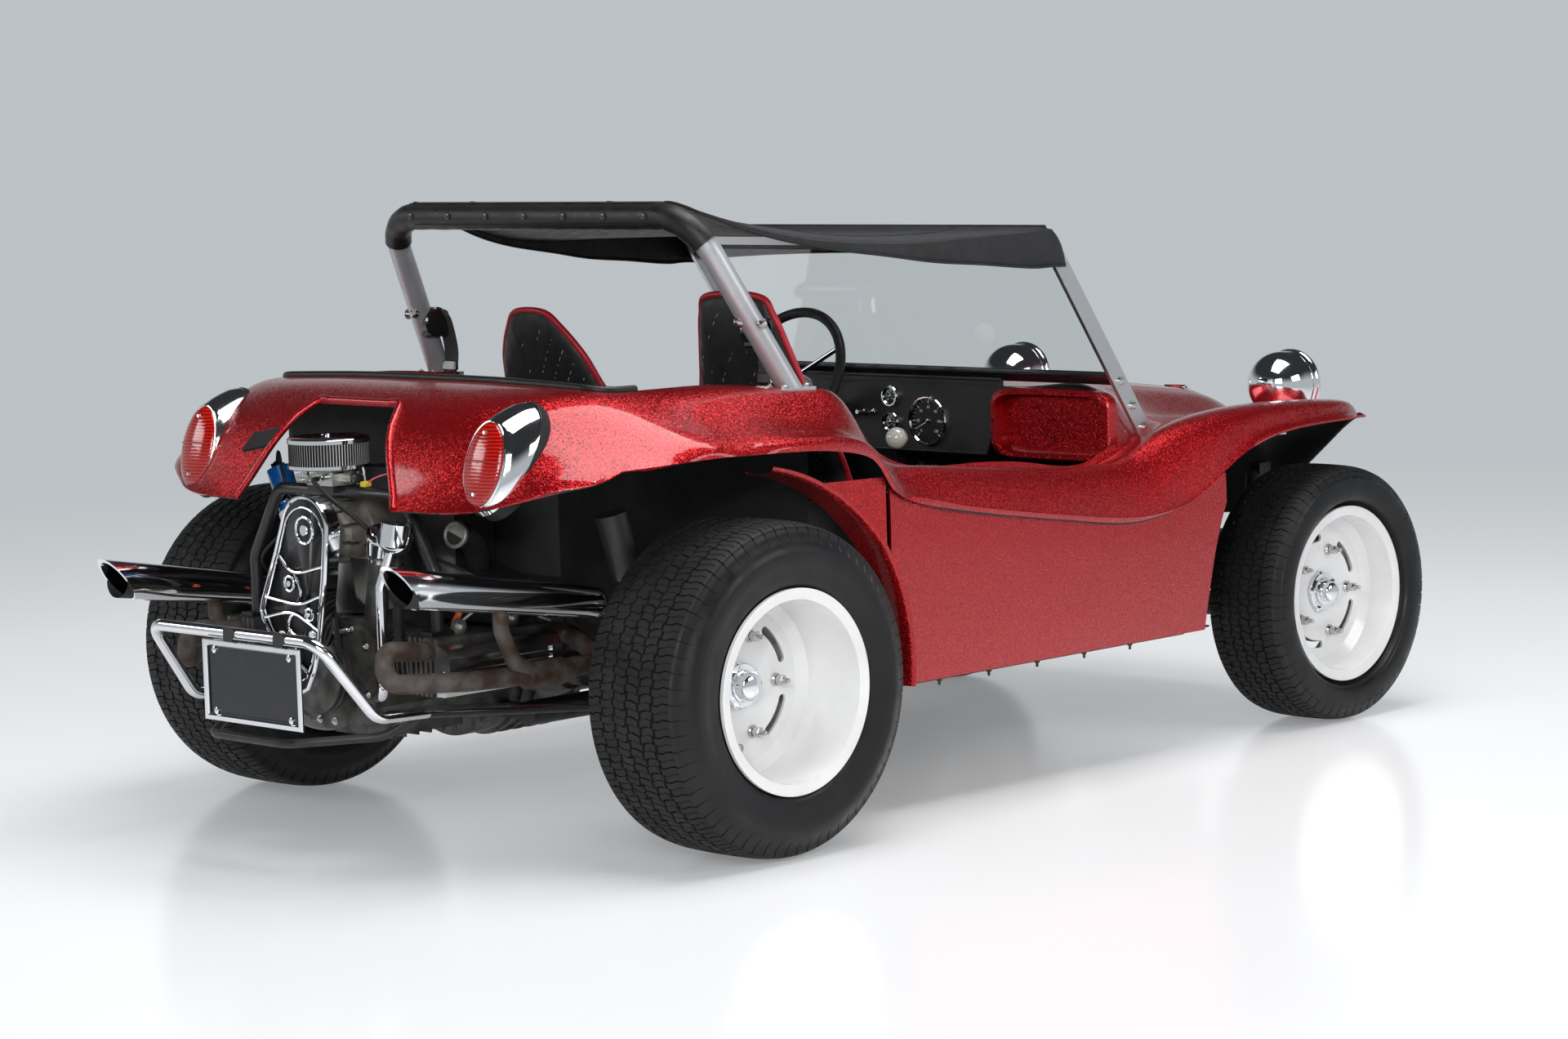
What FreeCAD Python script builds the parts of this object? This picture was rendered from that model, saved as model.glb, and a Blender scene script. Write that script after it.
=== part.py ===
"""Open two-seat dune buggy on a shortened pan with a rear air-cooled engine.

Units are millimetres. +X is forward, +Y is the car's left and +Z is up.
Everything is drawn from the rear axle (x = 0 there) with the ground at z = 0,
and each piece is moved by ORIGIN_SHIFT when it is written, so that the origin
is on the ground at the middle of the finished car.
"""
import FreeCAD, Part
import math
import os

os.makedirs("parts", exist_ok=True)
V = FreeCAD.Vector

# Driving dimensions of the whole car
WHEELBASE = 2032.0
BEAM_X = WHEELBASE + 133.0   # middle of the front axle beam
REAR_END = -748.0            # rear face of the number plate
FRONT_END = BEAM_X + 255.0   # front of the front bumper
ORIGIN_SHIFT = -(REAR_END + FRONT_END) / 2.0
SEAT_GAP = 0.4               # clearance between pieces that rest on each other

# Wheels and tyres
RIM_LIP_RADIUS = 208.0
BEAD_SEAT_RADIUS = 190.0
DROP_CENTRE_RADIUS = 166.0
RIM_SHEET = 5.0
REAR_TYRE_RADIUS = 340.0
REAR_TYRE_SECTION = 285.0
REAR_TREAD = 225.0
REAR_RIM_WIDTH = 274.0
REAR_WHEEL_Y = 727.0
REAR_DISC_Y = 700.0
FRONT_TYRE_RADIUS = 304.0
FRONT_TYRE_SECTION = 216.0
FRONT_TREAD = 180.0
FRONT_RIM_WIDTH = 178.0
TYRE_WALL = 13.0
BOLT_CIRCLE_RADIUS = 102.5
LUG_COUNT = 5
DRUM_RADIUS = 122.0
SPINDLE_RADIUS = 15.0
SPINDLE_CLEARANCE = 0.5

# Front axle and steering
BEAM_TUBE_RADIUS = 27.0
BEAM_UPPER_Z = 378.0
BEAM_LOWER_Z = 228.0
BEAM_HALF = 372.0
KINGPIN_Y = BEAM_HALF + 98.0
FRONT_WHEEL_Y = KINGPIN_Y + 144.0
FRONT_DISC_Y = FRONT_WHEEL_Y + 8.0
KINGPIN_RADIUS = 12.0
STEER_ARM = 130.0
STEER_ROD_Z = 372.0
ROD_RADIUS = 9.0
BALL_RADIUS = 6.0
PITMAN_Y = 268.0
ROD_SPREAD = 20.0            # rod pins beside the pitman arm, and balls outside the kingpins
COLUMN_Y = 272.0
STEERING_WHEEL_Z = 850.0
STEERING_WHEEL_RADIUS = 182.0
STEERING_HUB_LENGTH = 66.0
STEERING_SHAFT_RADIUS = 9.0
STEERING_BOX_X = BEAM_X - 155.0
STEERING_BOX_Z = 425.0

# Body
BODY_WALL = 5.0
SILL_INNER_Y = 586.0
COCKPIT_REAR_X = 338.0
COCKPIT_FRONT_X = WHEELBASE - 696.0
STEERING_WHEEL_X = COCKPIT_FRONT_X - 196.0
FOOTWELL_X = WHEELBASE - 432.0
PAN_FRONT_X = FOOTWELL_X + 60.0
PAN_Z = 258.0
PAN_SHEET = 4.0
PAN_HALF = 560.0
TUNNEL_HALF = 72.0
TUNNEL_TOP_Z = 392.0
TUB_WALL_Y = 572.0
PANEL_BOTTOM_Z = 277.0

# Roll bar and windshield
ROLL_BAR_RADIUS = 25.0
ROLL_BAR_TOP_Z = 1277.0
ROLL_BAR_BASE_X = 318.0
ROLL_BAR_BASE_Y = 559.0
ROLL_BAR_BASE_Z = 905.0
ROLL_BAR_TOP_X = 118.0
ROLL_BAR_TOP_Y = 480.0
SCREEN_FOOT_X = COCKPIT_FRONT_X + 122.0
SCREEN_FOOT_Z = 716.0
SCREEN_TOP_X = SCREEN_FOOT_X - 337.0
SCREEN_TOP_Z = 1195.0
SCREEN_HALF = 575.0
SCREEN_BAR = 42.0
SCREEN_BAR_THICK = 10.0
GLASS_THICK = 6.0
CLOTH = 4.0


# General helpers

def box(x0, x1, y0, y1, z0, z1):
    return Part.makeBox(x1 - x0, y1 - y0, z1 - z0, V(x0, y0, z0))


def rod(start, end, radius):
    start = V(*start)
    end = V(*end)
    along = end - start
    return Part.makeCylinder(radius, along.Length, start, along)


def ring(start, end, radius, bore):
    return rod(start, end, radius).cut(rod(start, end, bore))


def mirrored(shape):
    return shape.mirror(V(0, 0, 0), V(0, 1, 0))


def pair(shape):
    """The left piece and its mirror image as one compound."""
    return Part.makeCompound([shape, mirrored(shape)])


def fuse(shapes):
    whole = shapes[0].multiFuse(shapes[1:])
    return whole.removeSplitter()


def polygon(points):
    corners = [V(*p) for p in points]
    return Part.makePolygon(corners + corners[:1])


def kept(shape, count):
    """The largest solids of a trimmed shape, without the offcuts."""
    solids = sorted(shape.Solids, key=lambda solid: solid.Volume, reverse=True)[:count]
    return solids[0] if count == 1 else Part.makeCompound(solids)


def rearmost(shape):
    """The solid of a trimmed shape that lies furthest back, outside the tail."""
    return sorted(shape.Solids, key=lambda solid: solid.CenterOfMass.x)[0]


def prism(points, along):
    """Straight extrusion of a flat outline of corner points."""
    return Part.Face(polygon(points)).extrude(V(*along))


def spun(points, y_centre, hub_z, hub_x=0.0):
    """Revolve an (axial, radius) outline about a wheel's own axle line."""
    outline = polygon([(hub_x, y_centre + a, hub_z + r) for a, r in points])
    return Part.Face(outline).revolve(V(hub_x, 0, hub_z), V(0, 1, 0), 360)


def path_wire(points, bend):
    """Straight runs joined by tangent arcs of one bend radius."""
    pts = [V(*p) for p in points]
    edges = []
    start = pts[0]
    for before, corner, after in zip(pts, pts[1:], pts[2:]):
        into = (corner - before).normalize()
        out = (after - corner).normalize()
        half_turn = into.getAngle(out) / 2.0
        reach = bend * math.tan(half_turn)
        first = corner - into * reach
        last = corner + out * reach
        towards = (out - into).normalize()
        centre_gap = bend / math.cos(half_turn)
        middle = corner + towards * (centre_gap - bend)
        if (first - start).Length > 1e-6:
            edges.append(Part.LineSegment(start, first).toShape())
        edges.append(Part.Arc(first, middle, last).toShape())
        start = last
    edges.append(Part.LineSegment(start, pts[-1]).toShape())
    return Part.Wire(edges)


def bent_tube(points, radius, bend, bore=0.0):
    """Round tube along bent path; bore above zero leaves it hollow."""
    wire = path_wire(points, bend)
    start = V(*points[0])
    along = V(*points[1]) - start
    solid = sweep_circle(wire, start, along, radius)
    if bore > 0:
        solid = solid.cut(sweep_circle(wire, start, along, bore))
    return solid


def sweep_circle(wire, start, along, radius):
    profile = Part.Wire(Part.Circle(start, along, radius).toShape())
    return wire.makePipeShell([profile], True, False)


def surface(rows):
    """Smooth surface through a grid of points."""
    sheet = Part.BSplineSurface()
    sheet.interpolate(rows)
    return sheet


def closed_sheet(outer, inner):
    """Solid between two like surfaces, closed by ruled edges."""
    faces = [outer.toShape(), inner.toShape()]
    u0, u1, v0, v1 = outer.bounds()
    a0, a1, b0, b1 = inner.bounds()
    for u, a in ((u0, a0), (u1, a1)):
        faces.append(Part.makeRuledSurface(outer.uIso(u).toShape(), inner.uIso(a).toShape(), 1))
    for v, b in ((v0, b0), (v1, b1)):
        faces.append(Part.makeRuledSurface(outer.vIso(v).toShape(), inner.vIso(b).toShape(), 1))
    shell = Part.Shell(faces)
    shell.sewShape()
    solid = Part.makeSolid(shell if shell.ShapeType == "Shell" else shell.Shells[0])
    if solid.Volume < 0:
        solid.reverse()
    return solid


def skin(rows, thickness):
    """Smooth sheet through a grid of points, thickened inwards (downwards)."""
    outer = surface(rows)
    sample = rows[len(rows) // 2][len(rows[0]) // 2]
    u, v = outer.parameter(sample)
    sign = 1.0 if outer.normal(u, v).z > 0 else -1.0
    inner_rows = []
    for row in rows:
        inner_row = []
        for point in row:
            u, v = outer.parameter(point)
            inner_row.append(point - outer.normal(u, v) * (thickness * sign))
        inner_rows.append(inner_row)
    return closed_sheet(outer, surface(inner_rows))


def full_rows(half_rows):
    """Mirror half sections (centre first) into full left to right sections."""
    rows = []
    for half in half_rows:
        left = [V(x, y, z) for x, y, z in reversed(half)]
        right = [V(x, -y, z) for x, y, z in half[1:]]
        rows.append(left + right)
    return rows


# Body: one moulding draped from the tail's lower edge to the nose's.
# Each row goes from the centre line outwards: two points on the deck or hood,
# its edge, the rim, the foot of the rim, the fender crest, its flank, the lip.
BODY_ROWS = [
    [(-525, 0, 715), (-520, 150, 716), (-512, 300, 719), (-500, 410, 722),
     (-470, 492, 730), (-432, 550, 742), (-385, 610, 762), (-330, 672, 786)],
    [(-470, 0, 828), (-466, 150, 828), (-458, 300, 827), (-440, 405, 826),
     (-402, 495, 826), (-360, 565, 826), (-312, 632, 818), (-268, 702, 800)],
    [(-385, 0, 917), (-382, 150, 917), (-375, 300, 916), (-355, 402, 915),
     (-318, 486, 910), (-270, 562, 892), (-220, 652, 858), (-182, 735, 806)],
    [(-285, 0, 948), (-283, 150, 948), (-278, 300, 946), (-258, 420, 943),
     (-222, 520, 934), (-180, 606, 901), (-138, 694, 858), (-100, 748, 809)],
    [(-150, 0, 950), (-150, 160, 950), (-145, 320, 947), (-130, 460, 942),
     (-98, 560, 927), (-60, 640, 886), (-40, 706, 850), (-20, 757, 809)],
    [(30, 0, 945), (30, 170, 945), (35, 340, 943), (45, 490, 938),
     (58, 590, 919), (72, 650, 880), (80, 714, 846), (85, 761, 806)],
    [(200, 0, 934), (200, 170, 934), (200, 345, 932), (200, 500, 928),
     (200, 598, 914), (200, 652, 868), (200, 716, 836), (200, 761, 800)],
    [(320, 0, 920), (320, 170, 920), (320, 345, 919), (320, 500, 916),
     (320, 600, 905), (320, 652, 852), (325, 712, 818), (330, 748, 780)],
    [(405, 0, 912), (405, 170, 912), (405, 345, 912), (405, 505, 910),
     (405, 600, 893), (405, 650, 826), (402, 706, 778), (398, 734, 744)],
    [(455, 0, 905), (455, 170, 905), (455, 345, 905), (455, 510, 900),
     (455, 597, 850), (455, 644, 790), (452, 700, 732), (448, 724, 692)],
    [(515, 0, 898), (515, 170, 898), (515, 345, 897), (515, 515, 885),
     (515, 594, 772), (515, 638, 747), (515, 697, 708), (515, 722, 673)],
    [(600, 0, 888), (600, 170, 888), (600, 345, 887), (600, 520, 870),
     (600, 590, 728), (600, 632, 728), (600, 694, 700), (600, 722, 655)],
    [(800, 0, 872), (800, 170, 872), (800, 345, 871), (800, 525, 855),
     (800, 590, 704), (800, 629, 706), (800, 691, 676), (800, 721, 618)],
    [(1050, 0, 855), (1050, 170, 855), (1050, 345, 854), (1050, 530, 838),
     (1050, 590, 682), (1050, 628, 684), (1050, 690, 646), (1050, 720, 582)],
    [(1240, 0, 843), (1240, 170, 843), (1240, 345, 842), (1240, 535, 828),
     (1240, 588, 680), (1240, 627, 681), (1240, 689, 634), (1240, 718, 562)],
    [(1336, 0, 838), (1336, 170, 838), (1336, 345, 837), (1336, 540, 824),
     (1336, 588, 706), (1336, 626, 699), (1336, 688, 643), (1336, 717, 564)],
    [(1420, 0, 836), (1420, 170, 836), (1420, 345, 834), (1418, 515, 806),
     (1418, 572, 722), (1420, 625, 728), (1420, 687, 668), (1420, 716, 578)],
    [(1530, 0, 831), (1530, 170, 831), (1530, 335, 824), (1530, 455, 776),
     (1530, 535, 738), (1530, 618, 754), (1530, 683, 712), (1530, 712, 620)],
    [(1650, 0, 824), (1650, 160, 822), (1650, 315, 808), (1650, 410, 752),
     (1650, 495, 742), (1650, 606, 767), (1650, 678, 742), (1650, 708, 676)],
    [(1800, 0, 812), (1800, 150, 809), (1800, 290, 790), (1800, 368, 738),
     (1800, 455, 736), (1800, 592, 770), (1800, 673, 754), (1800, 704, 712)],
    [(2000, 0, 790), (2000, 140, 786), (2000, 265, 764), (2000, 335, 718),
     (2000, 430, 724), (2000, 580, 762), (2000, 664, 752), (2000, 702, 721)],
    [(2140, 0, 762), (2140, 132, 757), (2138, 250, 733), (2135, 318, 692),
     (2130, 412, 712), (2122, 566, 752), (2110, 648, 746), (2080, 700, 722)],
    [(2222, 0, 712), (2220, 130, 708), (2215, 245, 686), (2206, 315, 652),
     (2196, 410, 684), (2180, 552, 738), (2160, 632, 736), (2118, 692, 722)],
    [(2275, 0, 620), (2272, 132, 616), (2262, 245, 602), (2250, 318, 588),
     (2235, 412, 628), (2215, 535, 698), (2190, 615, 722), (2138, 684, 721)],
    [(2300, 0, 440), (2297, 135, 444), (2285, 250, 462), (2268, 325, 500),
     (2248, 415, 575), (2228, 522, 656), (2204, 602, 705), (2152, 674, 719)],
]

DRAWN_WHEELBASE = 2032.0     # the sections above were measured on a car of this wheelbase
DRAWN_COCKPIT = (338.0, 1336.0)


def along_car(x):
    """Place of a drawn section: the nose keeps to the front axle and the cockpit shares the rest."""
    rear, front = DRAWN_COCKPIT
    share = min(max((x - rear) / (front - rear), 0.0), 1.0)
    return x + (WHEELBASE - DRAWN_WHEELBASE) * share


CUTOUT_TOP_HALF = 133.0
CUTOUT_TOP_Z = 912.0
CUTOUT_BOTTOM_HALF = 248.0
HOOD_REAR_X = WHEELBASE - 472.0
HOOD_FRONT_X = WHEELBASE + 98.0
HOOD_REAR_HALF = 300.0
HOOD_FRONT_HALF = 205.0
HOOD_GAP = 5.0
HOOD_HINGE_X = HOOD_FRONT_X + 1.0
HOOD_HINGE_Z = 770.0
HINGE_Y = (-120.0, 120.0)
HINGE_RADIUS = 6.0
HINGE_PIN_RADIUS = 3.0


def body_sheet():
    rows = [[(along_car(x), y, z) for x, y, z in row] for row in BODY_ROWS]
    return skin(full_rows(rows), BODY_WALL)


def hood_prism(grow):
    """Plan outline of the front lid, grown all round for its running gap."""
    rear = HOOD_REAR_X - grow
    front = HOOD_FRONT_X + grow
    return prism([(rear, HOOD_REAR_HALF + grow, 600), (front, HOOD_FRONT_HALF + grow, 600),
                  (front, -HOOD_FRONT_HALF - grow, 600), (rear, -HOOD_REAR_HALF - grow, 600)],
                 (0, 0, 400))


def engine_cutout():
    """Opening in the tail for the open engine, wider at its lower edge."""
    reach = 200.0
    low = 600.0
    spread = CUTOUT_BOTTOM_HALF + (CUTOUT_BOTTOM_HALF - CUTOUT_TOP_HALF) * 0.6
    return prism([(-400 - reach, CUTOUT_TOP_HALF, CUTOUT_TOP_Z), (-400 - reach, spread, low),
                  (-400 - reach, -spread, low), (-400 - reach, -CUTOUT_TOP_HALF, CUTOUT_TOP_Z)],
                 (reach + 220, 0, 0))


def cockpit_cutter():
    """Plan outline of the open cockpit."""
    rear = box(COCKPIT_REAR_X, COCKPIT_FRONT_X - 60, -SILL_INNER_Y, SILL_INNER_Y, 560, 1100)
    dash = box(COCKPIT_FRONT_X - 70, COCKPIT_FRONT_X, -SILL_INNER_Y, SILL_INNER_Y, 560, 1100)
    return rear.fuse(dash)


def body_shell(sheet):
    shell = sheet.cut(cockpit_cutter())
    shell = shell.cut(hood_prism(HOOD_GAP))
    return shell.cut(engine_cutout())


def hood(sheet):
    """Front lid with its half of each hinge: a leaf, a knuckle and the pin."""
    lid = sheet.common(hood_prism(0.0))
    parts = [lid]
    for y in HINGE_Y:
        z = HOOD_HINGE_Z
        x = HOOD_HINGE_X
        parts.append(prism([(x - 43, y - 10, z - 3), (x - 43, y - 10, z + 9.5), (x, y - 10, z + 3), (x, y - 10, z - 7)],
                           (0, 20, 0)))
        parts.append(rod((x, y - 10, z), (x, y + 10, z), HINGE_RADIUS))
        parts.append(rod((x, y - 24, z), (x, y + 24, z), HINGE_PIN_RADIUS))
    return fuse(parts)


def hood_hinges(shell):
    """Fixed half of each hinge, screwed on the skin ahead of the lid."""
    halves = []
    for y in HINGE_Y:
        z = HOOD_HINGE_Z
        x = HOOD_HINGE_X
        leaf = prism([(x, y - 24, z + 2), (x + 42, y - 24, z - 15), (x + 42, y - 24, z - 34), (x, y - 24, z - 12)],
                     (0, 48, 0))
        leaf = leaf.cut(rod((x, y - 25, z), (x, y + 25, z), HINGE_RADIUS + 2))
        leaf = leaf.cut(box(x - 10, x + 10, y - 12, y + 12, z - 40, z + 40)).cut(hood_prism(HOOD_GAP / 2))
        leaf = sorted(leaf.cut(shell).Solids, key=lambda solid: solid.CenterOfMass.z)[-1]
        barrels = []
        for a, b in ((y - 24, y - 10.6), (y + 10.6, y + 24)):
            barrels.append(ring((x, a, z), (x, b, z), HINGE_RADIUS, HINGE_PIN_RADIUS + SEAT_GAP))
            barrels.append(box(x + 3.6, x + 10, a, b, z - 3, z + 2))
        halves.append(fuse([leaf] + barrels))
    return Part.makeCompound(halves)


def seam_z(x):
    """Height of the body's lip at x, read from the body sections."""
    lips = [(along_car(row[-1][0]), row[-1][2]) for row in BODY_ROWS]
    for (x0, z0), (x1, z1) in zip(lips, lips[1:]):
        if x0 <= x <= x1:
            return z0 + (z1 - z0) * (x - x0) / (x1 - x0)
    return lips[-1][1]


def side_panel():
    """Left side panel between the arches, seated under the body's lip."""
    outer_rows = []
    for drawn in (440, 515, 600, 800, 1050, 1240, 1336, 1420, 1530, 1560):
        x = along_car(drawn)
        top = seam_z(x) - SEAT_GAP
        outer_rows.append([V(x, 716, top), V(x, 716, top * 0.62 + PANEL_BOTTOM_Z * 0.38),
                           V(x, 706, top * 0.25 + PANEL_BOTTOM_Z * 0.75), V(x, 690, PANEL_BOTTOM_Z)])
    inner_rows = [[V(p.x, p.y - BODY_WALL, p.z) for p in row] for row in outer_rows]
    sheet = closed_sheet(surface(outer_rows), surface(inner_rows))
    rear_arch = rod((60, 600, 330), (60, 800, 330), 442)
    front_arch = rod((WHEELBASE, 600, 330), (WHEELBASE, 800, 330), 528)
    panel = sheet.cut(rear_arch).cut(front_arch)
    flange = box(500, along_car(1480), TUB_WALL_Y + 30, 690, PANEL_BOTTOM_Z, PANEL_BOTTOM_Z + BODY_WALL)
    return fuse([panel, flange])


TANK_TRAY_Z = 473.0
TANK_HALF = 210.0
TANK_LENGTH = 260.0
TANK_HEIGHT = 165.0


def tub():
    """Inner tub: cockpit sides, bulkhead, footwell front and the tank's tray ahead of it."""
    rear = COCKPIT_REAR_X + 4
    front = FOOTWELL_X
    floor = PAN_Z + PAN_SHEET + SEAT_GAP
    sides = []
    for sign in (1, -1):
        wall = box(rear, front, TUB_WALL_Y - BODY_WALL, TUB_WALL_Y, floor, 672)
        ledge = box(rear, COCKPIT_FRONT_X - 6, TUB_WALL_Y - BODY_WALL, TUB_WALL_Y + 12, 667, 672)
        side = fuse([wall, ledge])
        sides.append(side if sign == 1 else mirrored(side))
    tunnel = box(rear - 10, front + 20, -TUNNEL_HALF - SEAT_GAP, TUNNEL_HALF + SEAT_GAP,
                 PAN_Z, TUNNEL_TOP_Z + SEAT_GAP)
    bulkhead = box(rear, rear + BODY_WALL, -TUB_WALL_Y, TUB_WALL_Y, floor, 862)
    footwell = box(front - BODY_WALL, front, -TUB_WALL_Y, TUB_WALL_Y, floor, 725)
    tray = box(front, front + TANK_LENGTH + 120, -TANK_HALF - 26, TANK_HALF + 26, TANK_TRAY_Z - BODY_WALL, TANK_TRAY_Z)
    whole = fuse(sides + [bulkhead, footwell, tray])
    column_hole = rod((front - 100, COLUMN_Y, column_z(front - 100)), (front + 100, COLUMN_Y, column_z(front + 100)), 30)
    return whole.cut(tunnel).cut(column_hole)


def column_z(x):
    """Height of the straight steering column's axis at x."""
    run = STEERING_BOX_X - STEERING_WHEEL_X
    return STEERING_WHEEL_Z + (STEERING_BOX_Z - STEERING_WHEEL_Z) * (x - STEERING_WHEEL_X) / run


def floor_pan():
    """Flat pan, hollow centre tunnel and the frame head that carries the front beam."""
    rear = COCKPIT_REAR_X
    front = PAN_FRONT_X
    pan = box(rear, front, -PAN_HALF - 20, PAN_HALF + 20, PAN_Z, PAN_Z + PAN_SHEET)
    tunnel = box(rear, front, -TUNNEL_HALF, TUNNEL_HALF, PAN_Z, TUNNEL_TOP_Z)
    hollow = box(rear - 1, front + 1, -TUNNEL_HALF + PAN_SHEET, TUNNEL_HALF - PAN_SHEET,
                 PAN_Z + PAN_SHEET, TUNNEL_TOP_Z - PAN_SHEET)
    sill_top = PANEL_BOTTOM_Z - SEAT_GAP
    inner = TUB_WALL_Y + 1
    sill = fuse([box(rear, front - 180, inner, PAN_HALF + 20, PAN_Z, sill_top),
                 box(rear + 162, front - 180, inner, 650, sill_top - 10, sill_top)])
    head_x = BEAM_X - 80
    mount = box(head_x - 5, BEAM_X - BEAM_TUBE_RADIUS - SEAT_GAP, -120, 120, BEAM_LOWER_Z - 30, BEAM_UPPER_Z + 30)
    frame = fuse([pan, tunnel, sill, mirrored(sill)]).cut(hollow)
    head = prism([(front - 5, -TUNNEL_HALF, PAN_Z), (head_x, -120, PAN_Z), (head_x, 120, PAN_Z),
                  (front - 5, TUNNEL_HALF, PAN_Z)], (0, 0, 84))
    return fuse([frame, head, mount])


TORSION_X = 282.0
TORSION_Z = 330.0
TORSION_RADIUS = 45.0
HORN_RADIUS = 26.0
HORN_Y = 230.0
HORN_Z = REAR_TYRE_RADIUS - 78.0
GUARD_RADIUS = 12.5
GUARD_LEG_Y = 290.0
GUARD_LEG_Z = REAR_TYRE_RADIUS - 76.0
GEARBOX_Z = 336.0
AXLE_TUBE_RADIUS = 36.0
CRANK_Z = GEARBOX_Z + 39.0


def rear_frame():
    """Torsion tube across the back of the pan, the two horns and the rear guard's brackets."""
    x0 = TORSION_X
    tube = ring((x0, -470, TORSION_Z), (x0, 470, TORSION_Z), TORSION_RADIUS, TORSION_RADIUS - 8)
    horn = bent_tube([(x0, 190, TORSION_Z), (x0 - 150, HORN_Y, HORN_Z), (x0 - 440, HORN_Y, HORN_Z)], HORN_RADIUS, 90)
    joiner = box(x0 + 20, COCKPIT_REAR_X - SEAT_GAP, -70, 70, PAN_Z + 10, TORSION_Z + 40)
    foot = box(x0 - 440, x0 - 400, 100, 215, HORN_Z - 13, HORN_Z + 13)
    carrier = box(-70, -30, HORN_Y, GUARD_LEG_Y - GUARD_RADIUS - SEAT_GAP, HORN_Z - 8, HORN_Z + 16)
    parts = [tube, joiner]
    for piece in (horn, foot, carrier):
        parts += [piece, mirrored(piece)]
    return fuse(parts)


def rear_suspension():
    """Spring plates from the torsion tube to the hubs, and the rear dampers."""
    x0 = TORSION_X
    axle = REAR_TYRE_RADIUS
    plate = prism([(x0 + 40, 478, TORSION_Z + 45), (x0 - 60, 478, TORSION_Z + 50), (-50, 478, axle + 25),
                   (-50, 478, axle - 25), (x0 - 60, 478, TORSION_Z - 50), (x0 + 40, 478, TORSION_Z - 45)],
                  (0, 10, 0))
    damper = fuse([rod((-60, 520, axle - 10), (-110, 500, axle + 220), 24),
                   rod((-110, 500, axle + 220), (-140, 488, axle + 350), 33)])
    return Part.makeCompound([plate, mirrored(plate), damper, mirrored(damper)])


def transaxle():
    """Gearbox casing with the swing axle tubes and their bearing housings."""
    x0 = TORSION_X
    axle = REAR_TYRE_RADIUS
    nose = rod((x0 - 50, 0, GEARBOX_Z), (60, 0, GEARBOX_Z), 88)
    case = rod((90, 0, GEARBOX_Z), (-110, 0, GEARBOX_Z), 140)
    bell = rod((-110, 0, CRANK_Z - 20), (BELL_FACE_X, 0, CRANK_Z - 20), 158)
    side = rod((0, 0, GEARBOX_Z), (0, 470, axle), AXLE_TUBE_RADIUS)
    boot = Part.makeCone(72, 46, 70, V(0, 130, GEARBOX_Z + 1), V(0, 1, 0))
    bearing = rod((0, 440, axle), (0, 476, axle), 60)
    outer = rod((0, 489, axle), (0, 560, axle), 55)
    join = rod((0, 470, axle), (0, 495, axle), 30)
    spindle = rod((0, 550, axle), (0, 690, axle), SPINDLE_RADIUS)
    parts = [nose, case, bell]
    for i in range(5):
        parts.append(rod((70 - 38 * i, 0, GEARBOX_Z), (64 - 38 * i, 0, GEARBOX_Z), 147))
    for piece in (side, boot, bearing, outer, join, spindle):
        parts += [piece, mirrored(piece)]
    return fuse(parts)


BELL_FACE_X = -170.0
ENGINE_FRONT_X = BELL_FACE_X - SEAT_GAP
ENGINE_REAR_X = -470.0
CASE_HALF = 125.0
CASE_TOP_Z = CRANK_Z + 110.0
CYLINDER_X = (-395.0, -255.0)
CYLINDER_Z = CRANK_Z + 22.0
HEAD_INNER_Y = 250.0
HEAD_OUTER_Y = 340.0
HEAD_TOP_Z = CYLINDER_Z + 66.0
HEAD_BOTTOM_Z = CYLINDER_Z - 52.0
HEAD_REAR_X = -484.0
HEAD_FRONT_X = -184.0
PORT_Y = 308.0
PORT_Z = CYLINDER_Z + 42.0
PORT_RADIUS = 24.0
CRANK_PULLEY_RADIUS = 85.0
PULLEY_FRONT_X = -512.0
PULLEY_WIDTH = 20.0


def engine_case():
    """Crankcase split by its flange, with the sump plate, oil pump boss and crank pulley."""
    top = CASE_TOP_Z
    upper = prism([(ENGINE_REAR_X, -CASE_HALF, CRANK_Z - 70), (ENGINE_REAR_X, CASE_HALF, CRANK_Z - 70),
                   (ENGINE_REAR_X, CASE_HALF, CRANK_Z + 70), (ENGINE_REAR_X, 70, top),
                   (ENGINE_REAR_X, -70, top), (ENGINE_REAR_X, -CASE_HALF, CRANK_Z + 70)],
                  (ENGINE_FRONT_X - ENGINE_REAR_X, 0, 0))
    lower = prism([(ENGINE_REAR_X, -CASE_HALF, CRANK_Z - 70), (ENGINE_REAR_X, CASE_HALF, CRANK_Z - 70),
                   (ENGINE_REAR_X, 90, CRANK_Z - 112), (ENGINE_REAR_X, -90, CRANK_Z - 112)],
                  (ENGINE_FRONT_X - ENGINE_REAR_X, 0, 0))
    seam = box(ENGINE_REAR_X - 4, ENGINE_FRONT_X, -7, 7, CRANK_Z - 118, top + 6)
    parts = [upper, lower, seam, box(-420, -220, -100, 100, CRANK_Z - 138, CRANK_Z - 110)]
    for i in range(6):
        x = -405 + 34 * i
        parts.append(box(x, x + 5, -92, 92, CRANK_Z - 146, CRANK_Z - 137))
    nose = rod((ENGINE_REAR_X + 5, 0, CRANK_Z), (PULLEY_FRONT_X, 0, CRANK_Z), 50)
    pump = rod((ENGINE_REAR_X + 5, 0, CRANK_Z - 78), (ENGINE_REAR_X - 26, 0, CRANK_Z - 78), 42)
    disc = rod((PULLEY_FRONT_X, 0, CRANK_Z), (PULLEY_FRONT_X - PULLEY_WIDTH, 0, CRANK_Z), CRANK_PULLEY_RADIUS)
    groove = ring((PULLEY_FRONT_X - 5, 0, CRANK_Z), (PULLEY_FRONT_X - 15, 0, CRANK_Z),
                  CRANK_PULLEY_RADIUS + 1, CRANK_PULLEY_RADIUS - 8)
    return fuse(parts + [nose, pump, disc.cut(groove)])


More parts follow.
